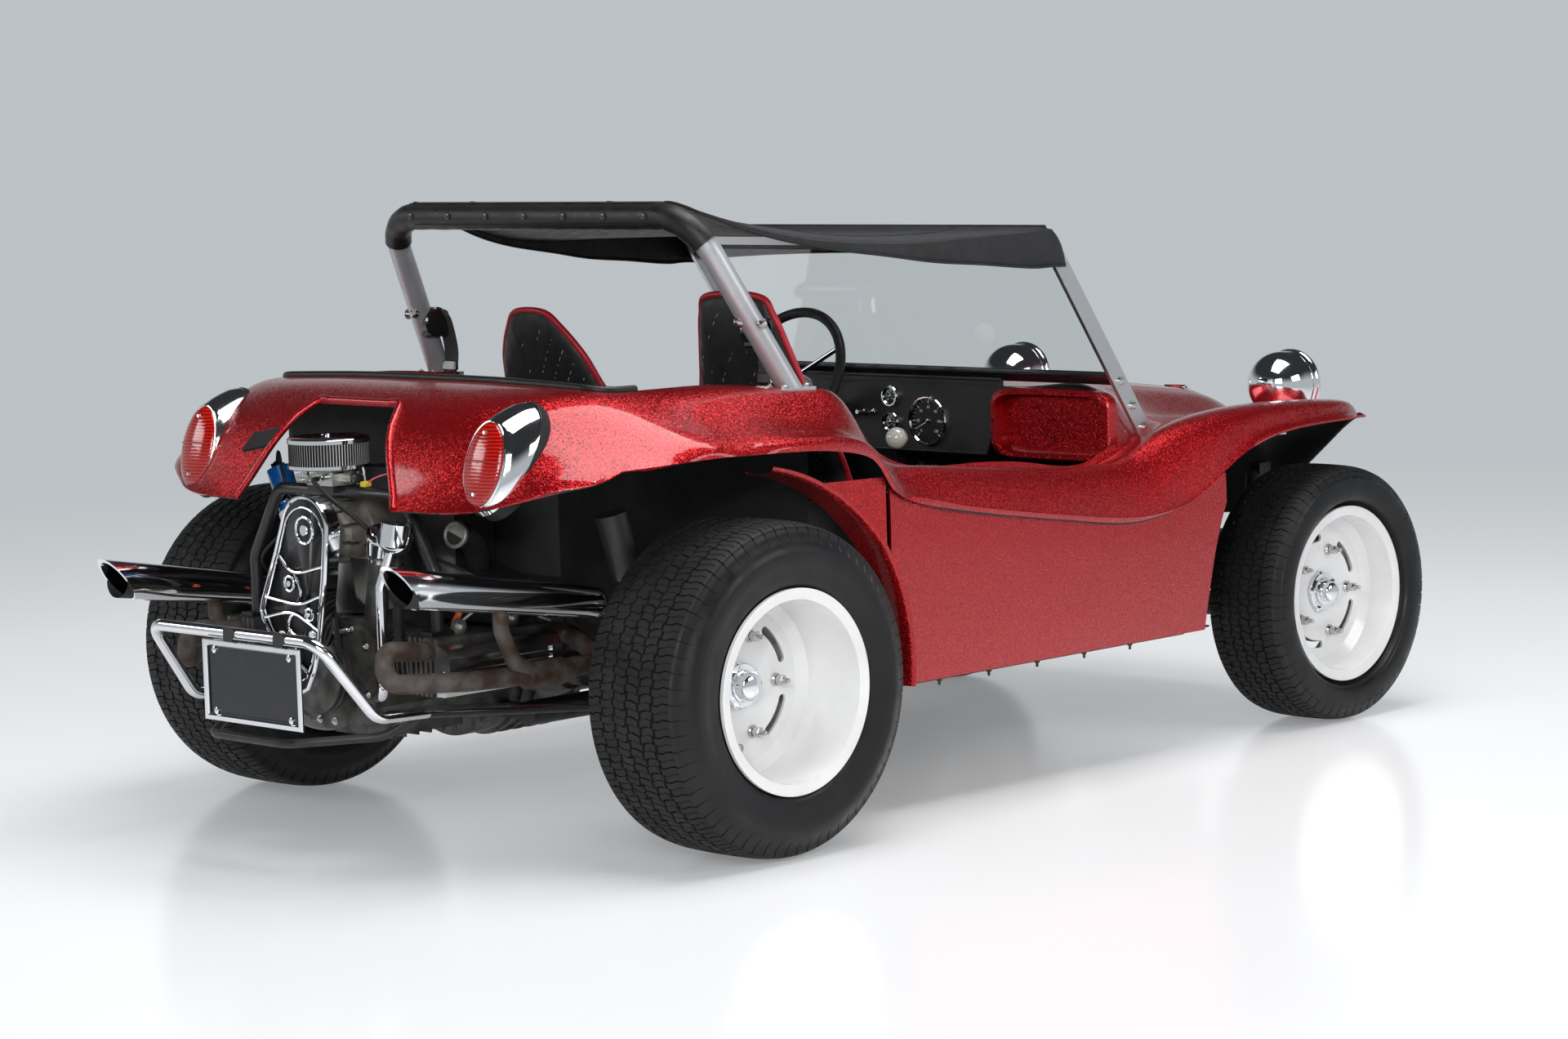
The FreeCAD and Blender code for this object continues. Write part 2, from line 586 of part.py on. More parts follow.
def cylinder_banks():
    """Two banks of two finned cylinders with their finned heads."""
    parts = []
    for x in CYLINDER_X:
        parts.append(rod((x, CASE_HALF, CYLINDER_Z), (x, HEAD_INNER_Y, CYLINDER_Z), 52))
        for i in range(7):
            y = CASE_HALF + 8 + i * 16
            parts.append(rod((x, y, CYLINDER_Z), (x, y + 5, CYLINDER_Z), 66))
    head = box(HEAD_REAR_X, HEAD_FRONT_X, HEAD_INNER_Y, HEAD_OUTER_Y, HEAD_BOTTOM_Z, HEAD_TOP_Z)
    for i in range(5):
        y = HEAD_INNER_Y + 10 + i * 15
        head = head.cut(box(HEAD_REAR_X - 1, HEAD_REAR_X + 22, y, y + 7, HEAD_BOTTOM_Z - 1, HEAD_TOP_Z + 1))
        head = head.cut(box(HEAD_FRONT_X - 22, HEAD_FRONT_X + 1, y, y + 7, HEAD_BOTTOM_Z - 1, HEAD_TOP_Z + 1))
    port = rod((HEAD_REAR_X + 30, PORT_Y, PORT_Z), (HEAD_REAR_X - 2, PORT_Y, PORT_Z), PORT_RADIUS)
    port_front = rod((HEAD_FRONT_X - 30, PORT_Y, PORT_Z), (HEAD_FRONT_X + 2, PORT_Y, PORT_Z), PORT_RADIUS)
    bank = fuse(parts + [head, port, port_front])
    bank.translate(V(0, SEAT_GAP, 0))
    return pair(bank)


def valve_covers():
    """Finned alloy covers held on the cylinder heads by a sprung wire."""
    low = HEAD_BOTTOM_Z + 4
    high = HEAD_TOP_Z - 10
    face = HEAD_OUTER_Y + 2 * SEAT_GAP
    x0 = HEAD_REAR_X - 6
    cover = prism([(x0, face, low), (x0, face, high), (x0, face + 30, high - 8), (x0, face + 42, high - 26),
                   (x0, face + 42, low + 18), (x0, face + 24, low)], (HEAD_FRONT_X - 6 - x0, 0, 0))
    end = 26
    for i in range(4):
        z = low + 22 + i * (high - low - 46) / 4
        cover = cover.cut(box(x0 + end, HEAD_FRONT_X - 6 - end, face + 36, face + 43, z, z + 9))
    clip = rod((x0 - 2, face + 18, CYLINDER_Z), (x0 + 4, face + 18, CYLINDER_Z), 6)
    return pair(fuse([cover, clip]))


ALTERNATOR_Z = CRANK_Z + 281.0
ALTERNATOR_RADIUS = 64.0
ALTERNATOR_PULLEY_RADIUS = 50.0
ALTERNATOR_REAR_X = -478.0
SHROUD_REAR_X = -300.0
SHROUD_DEPTH = 105.0
SHROUD_BASE_Z = HEAD_TOP_Z + 8.0
BELT_THICK = 8.0


def fan_shroud():
    """Upright cooling shroud with its round fan inlet, ahead of the alternator."""
    rear = SHROUD_REAR_X
    low = SHROUD_BASE_Z
    outline = [(rear, 300, low), (rear, 300, low + 82), (rear, 190, low + 112), (rear, 190, low + 232),
               (rear, 165, low + 278), (rear, 110, low + 304)]
    outline += [(x, -y, z) for x, y, z in reversed(outline)]
    tower = prism(outline, (SHROUD_DEPTH, 0, 0))
    hollow = rod((rear + SHROUD_DEPTH + 5, 0, ALTERNATOR_Z), (rear + 50, 0, ALTERNATOR_Z), 108)
    fan = rod((rear + 50, 0, ALTERNATOR_Z), (rear + 95, 0, ALTERNATOR_Z), 40)
    saddle = box(rear - 1, rear + SHROUD_DEPTH + 1, -CASE_HALF - 5, CASE_HALF + 5, low - 1, CASE_TOP_Z + 8)
    parts = [tower.cut(hollow).cut(saddle), fan]
    for i in range(12):
        angle = math.radians(30 * i)
        blade = box(rear + 50, rear + 80, -2, 2, 38, 96)
        blade.rotate(V(0, 0, 0), V(1, 0, 0), math.degrees(angle))
        blade.translate(V(0, 0, ALTERNATOR_Z))
        parts.append(blade)
    return fuse(parts)


def belt_loop(x0, width, grow):
    """Block round both pulleys, whose sides are the belt's straight runs."""
    low = CRANK_PULLEY_RADIUS + grow
    high = ALTERNATOR_PULLEY_RADIUS + grow
    lean = math.asin((low - high) / (ALTERNATOR_Z - CRANK_Z))
    side = [(x0, low * math.cos(lean), CRANK_Z + low * math.sin(lean)),
            (x0, high * math.cos(lean), ALTERNATOR_Z + high * math.sin(lean))]
    side += [(x, -y, z) for x, y, z in reversed(side)]
    return fuse([prism(side, (width, 0, 0)), rod((x0, 0, CRANK_Z), (x0 + width, 0, CRANK_Z), low),
                 rod((x0, 0, ALTERNATOR_Z), (x0 + width, 0, ALTERNATOR_Z), high)])


def alternator():
    """Alternator on its stand, with its vented ends, strap, pulley and the fan belt."""
    x1 = ALTERNATOR_REAR_X
    z = ALTERNATOR_Z
    parts = [rod((SHROUD_REAR_X - SEAT_GAP, 0, z), (x1 + 12, 0, z), ALTERNATOR_RADIUS),
             rod((x1 + 12, 0, z), (x1, 0, z), ALTERNATOR_RADIUS - 8),
             ring((-410, 0, z), (-396, 0, z), ALTERNATOR_RADIUS + 4, ALTERNATOR_RADIUS - 2),
             rod((x1, 0, z), (PULLEY_FRONT_X, 0, z), 12)]
    body = fuse(parts)
    for i in range(10):
        slot = box(x1 - 1, x1 + 40, -4, 4, ALTERNATOR_RADIUS - 20, ALTERNATOR_RADIUS + 3)
        slot.rotate(V(0, 0, 0), V(1, 0, 0), 36 * i)
        slot.translate(V(0, 0, z))
        body = body.cut(slot)
    pulley = rod((PULLEY_FRONT_X, 0, z), (PULLEY_FRONT_X - PULLEY_WIDTH, 0, z), ALTERNATOR_PULLEY_RADIUS)
    groove = ring((PULLEY_FRONT_X - 5, 0, z), (PULLEY_FRONT_X - 15, 0, z),
                  ALTERNATOR_PULLEY_RADIUS + 1, ALTERNATOR_PULLEY_RADIUS - 8)
    base = CASE_TOP_Z + 6 + SEAT_GAP
    stand = prism([(-450, -55, base), (-450, 55, base), (-450, 34, z - 40), (-450, -34, z - 40)], (100, 0, 0))
    belt = belt_loop(PULLEY_FRONT_X - 14, 8, 0.6).cut(belt_loop(PULLEY_FRONT_X - 15, 10, -BELT_THICK + 0.6))
    crank_side = rod((PULLEY_FRONT_X + 1, 0, CRANK_Z), (PULLEY_FRONT_X - 21, 0, CRANK_Z), CRANK_PULLEY_RADIUS - 8 + SEAT_GAP)
    return fuse([body, pulley.cut(groove), stand, belt.cut(crank_side)])


GUARD_X = -560.0
STUD_PLACES = ((-46.0, CRANK_Z + 86.0), (52.0, CRANK_Z + 80.0))
GUARD_THICK = 8.0


def belt_guard():
    """Cast guard over the belt: a tapered frame with open panels, on studs from the crankcase."""
    x = GUARD_X
    top = ALTERNATOR_Z + 12
    low = CRANK_Z - 62
    centre = -12.0
    plate = fuse([rod((x, centre, top), (x + GUARD_THICK, centre, top), 72),
                  rod((x, centre, low), (x + GUARD_THICK, centre, low), 44),
                  prism([(x, centre - 72, top), (x, centre + 72, top), (x, centre + 112, CRANK_Z + 70),
                         (x, centre + 40, low - 20), (x, centre - 40, low - 20), (x, centre - 68, CRANK_Z + 70)],
                        (GUARD_THICK, 0, 0))])
    window = rod((x - 1, centre, top), (x + 20, centre, top), 23)
    panels = [[(26, 40), (58, 40), (62, -8), (40, -30)], [(-26, 40), (-58, 40), (-58, -8), (-38, -30)],
              [(66, -40), (88, -150), (40, -120)], [(-58, -40), (-58, -140), (-22, -60)],
              [(14, -92), (30, -150), (-10, -150)], [(90, -168), (98, -205), (30, -196), (34, -164)],
              [(-20, -160), (-56, -200), (-56, -160)], [(18, -222), (60, -222), (30, -300), (18, -310)],
              [(0, -222), (-50, -222), (-26, -310), (0, -310)]]
    for corners in panels:
        plate = plate.cut(prism([(x - 1, centre + y, top + z) for y, z in corners], (GUARD_THICK + 2, 0, 0)))
    plate = plate.cut(window)
    studs = []
    for y, z in STUD_PLACES:
        studs.append(rod((x + GUARD_THICK - 1, y, z), (ENGINE_REAR_X - SEAT_GAP, y, z), 5))
    return fuse([plate] + studs)


CARBURETTOR_X = -440.0
CARBURETTOR_Y = 32.0
CARBURETTOR_HEIGHT = 34.0
MANIFOLD_RADIUS = 13.0
MANIFOLD_Z = ALTERNATOR_Z + ALTERNATOR_RADIUS + 4.0 + MANIFOLD_RADIUS + 1.0


def carburettor():
    """Carburettor on the centre manifold that runs out to both heads."""
    base = MANIFOLD_Z + MANIFOLD_RADIUS + SEAT_GAP
    x, y = CARBURETTOR_X, CARBURETTOR_Y
    top = base + CARBURETTOR_HEIGHT
    bowl = box(x - 36, x + 40, y - 52, y + 20, base + 2, top - 8)
    throat = rod((x, y, base), (x, y, top), 30)
    flange = box(x - 26, x + 26, y - 42, y + 42, base, base + 5)
    shaft = rod((x - 10, y - 66, base + 12), (x - 10, y + 64, base + 12), 4)
    choke = rod((x + 4, y - 52, base + 18), (x + 4, y - 78, base + 18), 15)
    lever = box(x - 13, x - 7, y + 58, y + 64, base + 2, base + 26)
    return fuse([bowl, throat, flange, shaft, choke, lever])


def intake_manifold():
    x = CARBURETTOR_X
    low = HEAD_TOP_Z + SEAT_GAP
    pipe = bent_tube([(x, -290, low), (x, -290, MANIFOLD_Z - 150), (x, -200, MANIFOLD_Z), (x, 200, MANIFOLD_Z),
                      (x, 290, MANIFOLD_Z - 150), (x, 290, low)], MANIFOLD_RADIUS, 40)
    parts = [pipe, box(x - 26, x + 26, CARBURETTOR_Y - 42, CARBURETTOR_Y + 42, MANIFOLD_Z, MANIFOLD_Z + MANIFOLD_RADIUS)]
    for y in (-290, 290):
        parts.append(box(x - 30, x + 30, y - 18, y + 18, low, low + 9))
    return fuse(parts)


def air_cleaner():
    """Round pleated element between two plated lids."""
    x, y = CARBURETTOR_X, CARBURETTOR_Y
    z = MANIFOLD_Z + MANIFOLD_RADIUS + CARBURETTOR_HEIGHT + 2 * SEAT_GAP
    element = ring((x, y, z + 4), (x, y, z + 52), 79, 62)
    pleats = []
    for i in range(48):
        pleat = box(76, 82.5, -2, 2, z + 4, z + 52)
        pleat.rotate(V(0, 0, 0), V(0, 0, 1), 7.5 * i)
        pleat.translate(V(x, y, 0))
        pleats.append(pleat)
    parts = [rod((x, y, z), (x, y, z + 5), 85), rod((x, y, z + 51), (x, y, z + 59), 85),
             rod((x, y, z + 55), (x, y, z + 72), 7), rod((x, y, z + 59), (x, y, z + 64), 16)]
    return fuse([element] + parts + pleats)


def engine_fittings():
    """Oil filler, breather tube with its ribbed cap, distributor, and the coil in its clamp."""
    case = CASE_TOP_Z
    filler = fuse([rod((-420, -70, case - 20), (-462, -150, 628), 24), rod((-462, -150, 628), (-470, -165, 662), 31)])
    breather = fuse([bent_tube([(-492, -226, 655), (-510, -200, 560), (-510, -200, 340), (-455, -100, 322)], 10, 40),
                     rod((-492, -226, 645), (-488, -232, 690), 30)])
    distributor = fuse([rod((-400, 80, case - 20), (-430, 95, 560), 24), rod((-430, 95, 560), (-440, 100, 610), 38)])
    coil = rod((-400, 190, 640), (-400, 250, 772), 27)
    clamp = box(-408, SHROUD_REAR_X - SEAT_GAP, 186, 222, 652, 668)
    return Part.makeCompound([filler, breather, distributor, fuse([coil, clamp])])


HEADER_RADIUS = 20.0
COLLECTOR = (-300.0, 436.0, 380.0)
MUFFLER_Y = 462.0
MUFFLER_FRONT = (-174.0, 512.0)
MUFFLER_TIP = (-720.0, 601.0)
MUFFLER_TIP_RADIUS = 41.0
MUFFLER_FRONT_RADIUS = 32.0
LEFT_MUFFLER_DROP = 42.0
RISER_X = -422.0


def muffler_z(x, drop):
    """Height of a tail pipe's axis at x."""
    share = (x - MUFFLER_FRONT[0]) / (MUFFLER_TIP[0] - MUFFLER_FRONT[0])
    return MUFFLER_FRONT[1] + share * (MUFFLER_TIP[1] - MUFFLER_FRONT[1]) - drop


def exhaust_header():
    """On each side: rear and front port pipes, their collector and the riser to the tail pipe."""
    cx, cy, cz = COLLECTOR
    start = HEAD_REAR_X - 2 - SEAT_GAP
    sides = []
    for sign, drop in ((1, LEFT_MUFFLER_DROP), (-1, 0.0)):
        rear = bent_tube([(start, PORT_Y, PORT_Z), (start - 25, PORT_Y, PORT_Z), (-606, PORT_Y + 4, PORT_Z + 14),
                          (-604, PORT_Y + 20, cz + 6), (-480, cy - 14, cz + 5), (cx, cy, cz)], HEADER_RADIUS, 30)
        front_x = HEAD_FRONT_X + 2 + SEAT_GAP
        front = bent_tube([(front_x, PORT_Y, PORT_Z), (front_x + 66, PORT_Y, PORT_Z), (front_x + 60, cy, cz + 6),
                           (cx, cy, cz)], HEADER_RADIUS, 30)
        collector = rod((cx - 40, cy, cz), (cx + 60, cy, cz), 27)
        seat = muffler_z(RISER_X, drop) - MUFFLER_TIP_RADIUS + 12
        riser = bent_tube([(cx, cy, cz), (RISER_X + 40, MUFFLER_Y - 10, cz + 34), (RISER_X, MUFFLER_Y, seat - 40),
                           (RISER_X, MUFFLER_Y, seat)], 16, 30)
        side = fuse([rear, front, collector, riser])
        sides.append(side if sign == 1 else mirrored(side))
    return Part.makeCompound(sides)


def mufflers():
    """Slash-cut plated tail pipes that swell towards the rear, the left one lower."""
    pipes = []
    for sign, drop in ((1, LEFT_MUFFLER_DROP), (-1, 0.0)):
        start = V(MUFFLER_FRONT[0], MUFFLER_Y, muffler_z(MUFFLER_FRONT[0], drop))
        end = V(MUFFLER_TIP[0], MUFFLER_Y, muffler_z(MUFFLER_TIP[0], drop))
        along = end - start
        body = Part.makeCone(MUFFLER_FRONT_RADIUS, MUFFLER_TIP_RADIUS, along.Length, start, along)
        nose = Part.makeSphere(MUFFLER_FRONT_RADIUS, start)
        inside = Part.makeCone(MUFFLER_FRONT_RADIUS - 3, MUFFLER_TIP_RADIUS - 3, along.Length + 20,
                               start + along * 0.42, along)
        tip = MUFFLER_TIP[0]
        high = end.z + 60
        cutter = prism([(tip - 60, 300, high), (tip - 6, 300, high), (tip + 108, 300, high - 150),
                        (tip - 60, 300, high - 150)], (0, 300, 0))
        pipe = fuse([body, nose]).cut(inside).cut(cutter)
        pipes.append(kept(pipe if sign == 1 else mirrored(pipe), 1))
    return Part.makeCompound(pipes)


PLATE_FACE_X = REAR_END


def guard_bar():
    """Bent tube guard behind the engine with its two long legs and a low cross bar."""
    x = PLATE_FACE_X + 16 + GUARD_RADIUS - 12.5
    y = GUARD_LEG_Y
    half = [(18, y, GUARD_LEG_Z), (-478, y + 2, 313), (-610, y + 6, 317), (x, 269, 480)]
    loop = bent_tube(half + [(a, -b, c) for a, b, c in reversed(half)], GUARD_RADIUS, 45)
    low = bent_tube([(-478, y + 2, 313), (-560, 250, 270), (-700, 120, 262), (-700, -120, 262),
                     (-560, -250, 270), (-478, -y - 2, 313)], 9, 60)
    return fuse([loop, low])


def licence_plate():
    """Blank plate in its frame, with two tabs behind the guard's top tube."""
    x = PLATE_FACE_X
    plate = box(x + 2, x + 3.1, -232, 72, 306, 462)
    frame = box(x, x + 3.1, -236, 76, 302, 466).cut(box(x - 2, x + 10, -220, 60, 318, 452))
    parts = [plate, frame]
    for y in (-180, -20):
        parts.append(box(x + 1, x + 3.1, y, y + 30, 455, 492))
    return fuse(parts)


TOWER_TOP_Z = 590.0
TOWER_HALF = 22.0


def front_beam():
    """Two torsion tubes joined by the shock towers and the middle web."""
    parts = []
    for z in (BEAM_UPPER_Z, BEAM_LOWER_Z):
        parts.append(rod((BEAM_X, -BEAM_HALF, z), (BEAM_X, BEAM_HALF, z), BEAM_TUBE_RADIUS))
    tower = box(BEAM_X - TOWER_HALF, BEAM_X + TOWER_HALF, BEAM_HALF - 42, BEAM_HALF - 12, BEAM_LOWER_Z, TOWER_TOP_Z)
    web = box(BEAM_X - 8, BEAM_X + 8, -130, 130, BEAM_LOWER_Z, BEAM_UPPER_Z)
    return fuse(parts + [tower, mirrored(tower), web])


def front_arms():
    """Upper and lower trailing arms, the kingpin carriers and the dampers between arm and tower."""
    arms = []
    for z in (BEAM_LOWER_Z, BEAM_UPPER_Z):
        boss = rod((BEAM_X, BEAM_HALF + SEAT_GAP, z), (BEAM_X, BEAM_HALF + 45, z), 30)
        arm = prism([(BEAM_X, BEAM_HALF + 20, z + 20), (BEAM_X, BEAM_HALF + 20, z - 20),
                     (WHEELBASE - 10, BEAM_HALF + 20, z - 14), (WHEELBASE - 10, BEAM_HALF + 20, z + 14)],
                    (0, 24, 0))
        arms.append(fuse([boss, arm]))
    y = BEAM_HALF - 6
    foot = (BEAM_X - 75, y, BEAM_LOWER_Z)
    eye = (BEAM_X - 50, y, TOWER_TOP_Z - 24)
    middle = (BEAM_X - 64, y, 420)
    damper = fuse([rod(foot, middle, 15), rod(middle, eye, 22)])
    lower_pin = rod((foot[0], y, foot[2]), (foot[0], BEAM_HALF + 30, foot[2]), 8)
    upper_pin = rod((eye[0] + 4, y, eye[2]), (BEAM_X - TOWER_HALF - SEAT_GAP, y - 21, eye[2]), 7)
    carrier = box(WHEELBASE - 10, WHEELBASE + 10, BEAM_HALF + 40, KINGPIN_Y - 24,
                  BEAM_LOWER_Z - 20, BEAM_UPPER_Z + 20)
    pin = rod((WHEELBASE, KINGPIN_Y, BEAM_LOWER_Z - 20), (WHEELBASE, KINGPIN_Y, BEAM_UPPER_Z + 20), KINGPIN_RADIUS)
    lugs = box(WHEELBASE - 10, WHEELBASE + 10, KINGPIN_Y - 30, KINGPIN_Y, BEAM_LOWER_Z - 20, BEAM_LOWER_Z - 4)
    lugs_top = lugs.copy()
    lugs_top.translate(V(0, 0, BEAM_UPPER_Z - BEAM_LOWER_Z + 24))
    side = fuse(arms + [carrier, pin, lugs, lugs_top, damper, lower_pin, upper_pin])
    return pair(side)


def knuckle():
    """Left knuckle: kingpin sleeve, spindle and the steering arm to the rear."""
    low = BEAM_LOWER_Z + 4
    high = BEAM_UPPER_Z - 4
    z = FRONT_TYRE_RADIUS
    end_x = WHEELBASE - STEER_ARM
    end_y = KINGPIN_Y + ROD_SPREAD
    sleeve = rod((WHEELBASE, KINGPIN_Y, low), (WHEELBASE, KINGPIN_Y, high), 18)
    bore = rod((WHEELBASE, KINGPIN_Y, low - 1), (WHEELBASE, KINGPIN_Y, high + 1), KINGPIN_RADIUS + SPINDLE_CLEARANCE)
    spindle = rod((WHEELBASE, KINGPIN_Y + 15, z), (WHEELBASE, FRONT_DISC_Y - 12, z), SPINDLE_RADIUS)
    flange = rod((WHEELBASE, KINGPIN_Y + 15, z), (WHEELBASE, KINGPIN_Y + 40, z), 40)
    arm_z = STEER_ROD_Z - 26
    arm = prism([(WHEELBASE, KINGPIN_Y - 12, arm_z), (WHEELBASE, KINGPIN_Y + 12, arm_z), (end_x - 12, end_y + 10, arm_z),
                 (end_x - 12, end_y - 10, arm_z)], (0, 0, 12))
    ball = rod((end_x, end_y, arm_z + 10), (end_x, end_y, STEER_ROD_Z + 6), BALL_RADIUS)
    return fuse([sleeve, flange, spindle, arm]).cut(bore).fuse(ball).removeSplitter()


def tie_rod(y_inner, y_outer):
    """Straight rod with an eye at each end."""
    x = WHEELBASE - STEER_ARM
    z = STEER_ROD_Z
    low = min(y_inner, y_outer)
    high = max(y_inner, y_outer)
    whole = rod((x, low + 8, z), (x, high - 8, z), ROD_RADIUS)
    for y in (low, high):
        whole = whole.fuse(rod((x, y, z - 8), (x, y, z + 8), 14))
    for y in (low, high):
        whole = whole.cut(rod((x, y, z - 12), (x, y, z + 12), BALL_RADIUS + 1.0))
    return whole.removeSplitter()


LEFT_ROD_Y = PITMAN_Y + ROD_SPREAD
RIGHT_ROD_Y = PITMAN_Y - ROD_SPREAD


def pitman_arm():
    """Arm under the steering box that carries both tie rods."""
    x = WHEELBASE - STEER_ARM
    z = STEER_ROD_Z
    arm = box(x - 14, WHEELBASE + 16, PITMAN_Y - ROD_SPREAD - 14, PITMAN_Y + ROD_SPREAD + 14, z - 26, z - 14)
    pins = [rod((x, y, z - 16), (x, y, z + 6), BALL_RADIUS) for y in (LEFT_ROD_Y, RIGHT_ROD_Y)]
    shaft = rod((WHEELBASE, PITMAN_Y, z - 16), (WHEELBASE, PITMAN_Y, z + 22), 14)
    return fuse([arm, shaft] + pins)


def steering_column():
    """Steering box clamped on the beam, the column tube and the shaft into the wheel's hub."""
    x = STEERING_BOX_X
    case = box(x - 20, x + 70, PITMAN_Y - 36, COLUMN_Y + 40, STEER_ROD_Z + 22 + SEAT_GAP, STEERING_BOX_Z + 35)
    clamp = box(x + 65, BEAM_X - BEAM_TUBE_RADIUS - SEAT_GAP, PITMAN_Y - 20, PITMAN_Y + 20,
                BEAM_UPPER_Z - 20, BEAM_UPPER_Z + 20)
    start, along = column_line()
    foot = V(x, COLUMN_Y, STEERING_BOX_Z)
    tube = rod(tuple(start + along * (STEERING_HUB_LENGTH + 3)), tuple(foot), 20)
    shaft = rod(tuple(start + along * (STEERING_HUB_LENGTH - 30)), tuple(foot), STEERING_SHAFT_RADIUS)
    return fuse([case, clamp, tube, shaft])


def column_line():
    """The steering wheel's centre and the direction down its column."""
    centre = V(STEERING_WHEEL_X, COLUMN_Y, STEERING_WHEEL_Z)
    return centre, V(STEERING_BOX_X - STEERING_WHEEL_X, 0, STEERING_BOX_Z - STEERING_WHEEL_Z).normalize()


def steering_wheel():
    """Rim, three spokes and hub, on the column's line."""
    centre, axis = column_line()
    rim = Part.makeTorus(STEERING_WHEEL_RADIUS - 12, 12, centre, axis)
    hub = Part.makeCylinder(30, STEERING_HUB_LENGTH, centre, axis)
    bore = Part.makeCylinder(STEERING_SHAFT_RADIUS + SEAT_GAP, 40, centre + axis * (STEERING_HUB_LENGTH - 32), axis)
    parts = [rim, hub]
    across = V(0, 1, 0)
    up = axis.cross(across)
    for degrees in (90, 210, 330):
        angle = math.radians(degrees)
        out = across * math.cos(angle) - up * math.sin(angle)
        start = centre + axis * 12 + out * 20
        end = centre + out * (STEERING_WHEEL_RADIUS - 14)
        parts.append(Part.makeCylinder(6, (end - start).Length, start, end - start))
    return fuse(parts).cut(bore)


BUMPER_TUBE_RADIUS = 16.0
BUMPER_Z = 370.0


def front_bumper():
    """Tube ahead of the nose with turned-down ends, on two stays from the beam."""
    r = BUMPER_TUBE_RADIUS
    x = FRONT_END - r
    z = BUMPER_Z
    half = BEAM_HALF - 12
    bar = bent_tube([(x, -half - 44, z - 60), (x, -half, z), (x, half, z), (x, half + 44, z - 60)], r, 40)
    y = BEAM_HALF - 72
    stay = rod((BEAM_X + BEAM_TUBE_RADIUS + SEAT_GAP, y, BEAM_UPPER_Z), (x, y, z), 11)
    return fuse([bar, stay, mirrored(stay)])


LAMP_X = WHEELBASE + 118.0
LAMP_Z = 800.0
LAMP_RADIUS = 85.0


def headlamp():
    """Left headlamp: deep round bucket, rim ring, lens and wedge foot."""
    x, y, z, r = LAMP_X, 430.0, LAMP_Z, LAMP_RADIUS
    back = Part.makeSphere(r, V(x - 10, y, z)).common(box(x - 110, x - 10, y - r, y + r, z - r, z + r))
    barrel = rod((x - 10, y, z), (x + 30, y, z), r)
    rim = rod((x + 30, y, z), (x + 42, y, z), r + 4)
    lens = rod((x + 42, y, z), (x + 50, y, z), r - 8)
    foot = prism([(x - 80, y - 22, 690), (x + 20, y - 22, 690), (x, y - 22, z - r + 8), (x - 40, y - 22, z - r + 8)],
                 (0, 44, 0))
    return fuse([back, barrel, rim, lens, foot])


def tail_lamp():
    """Left teardrop lamp: plated housing along the tail's corner and a domed lens."""
    low = V(-448, 466, 745)
    high = V(-330, 462, 900)
    along = (high - low).normalize()
    out = V(-0.77, 0.30, 0.56).normalize()
    side = along.cross(out).normalize()
    out = side.cross(along).normalize()
    centre = (low + high) * 0.5

    def oval(middle, half_length, half_width):
        points = []
        for i in range(12):
            t = 2 * math.pi * i / 12
            points.append(middle + along * (half_length * math.cos(t)) + side * (half_width * math.sin(t)))
        curve = Part.BSplineCurve()
        curve.interpolate(points, PeriodicFlag=True)
        return Part.Wire(curve.toShape())

    sections = [oval(centre - out * 20, 118, 66), oval(centre + out * 20, 112, 62),
                oval(centre + out * 52 - along * 18, 74, 48)]
    return Part.makeLoft(sections, True)


def windshield_frame():
    """Flat bar frame: two raked posts bolted to the cowl, a top and a bottom bar."""
    along = V(SCREEN_TOP_X - SCREEN_FOOT_X, 0, SCREEN_TOP_Z - SCREEN_FOOT_Z)
    length = along.Length
    along.normalize()
    normal = V(along.z, 0, -along.x)
    post = Part.makeBox(SCREEN_BAR, SCREEN_BAR_THICK, length)
    place = frame_placement(along, normal)
    post.transformShape(place, True)
    post.translate(V(SCREEN_FOOT_X, SCREEN_HALF - SCREEN_BAR_THICK, SCREEN_FOOT_Z) - normal * (SCREEN_BAR / 2))
    bars = []
    for share in (0.30, 0.975):
        middle = V(SCREEN_FOOT_X, 0, SCREEN_FOOT_Z) + along * (length * share)
        bar = Part.makeBox(SCREEN_BAR_THICK * 2, SCREEN_HALF * 2 - 2 * SCREEN_BAR_THICK, 24)
        bar.transformShape(frame_placement(along, normal), True)
        bar.translate(middle - normal * SCREEN_BAR_THICK - along * 12 + V(0, -SCREEN_HALF + SCREEN_BAR_THICK, 0))
        bars.append(bar)
    return fuse([post, mirrored(post)] + bars)


def frame_placement(along, normal):
    """Matrix that turns +Z to the screen's rake and +X to its normal."""
    m = FreeCAD.Matrix()
    m.A11, m.A12, m.A13 = normal.x, 0, along.x
    m.A21, m.A22, m.A23 = 0, 1, 0
    m.A31, m.A32, m.A33 = normal.z, 0, along.z
    return m


def windshield_glass():
    along = V(SCREEN_TOP_X - SCREEN_FOOT_X, 0, SCREEN_TOP_Z - SCREEN_FOOT_Z)
    length = along.Length
    along.normalize()
    normal = V(along.z, 0, -along.x)
    low = length * 0.30 + 12 + SEAT_GAP
    high = length * 0.975 - 12 - SEAT_GAP
    half = SCREEN_HALF - SCREEN_BAR_THICK - SEAT_GAP
    glass = Part.makeBox(GLASS_THICK, 2 * half, high - low)
    glass.transformShape(frame_placement(along, normal), True)
    start = V(SCREEN_FOOT_X, 0, SCREEN_FOOT_Z) + along * low
    glass.translate(start - normal * (GLASS_THICK / 2) + V(0, -half, 0))
    return glass


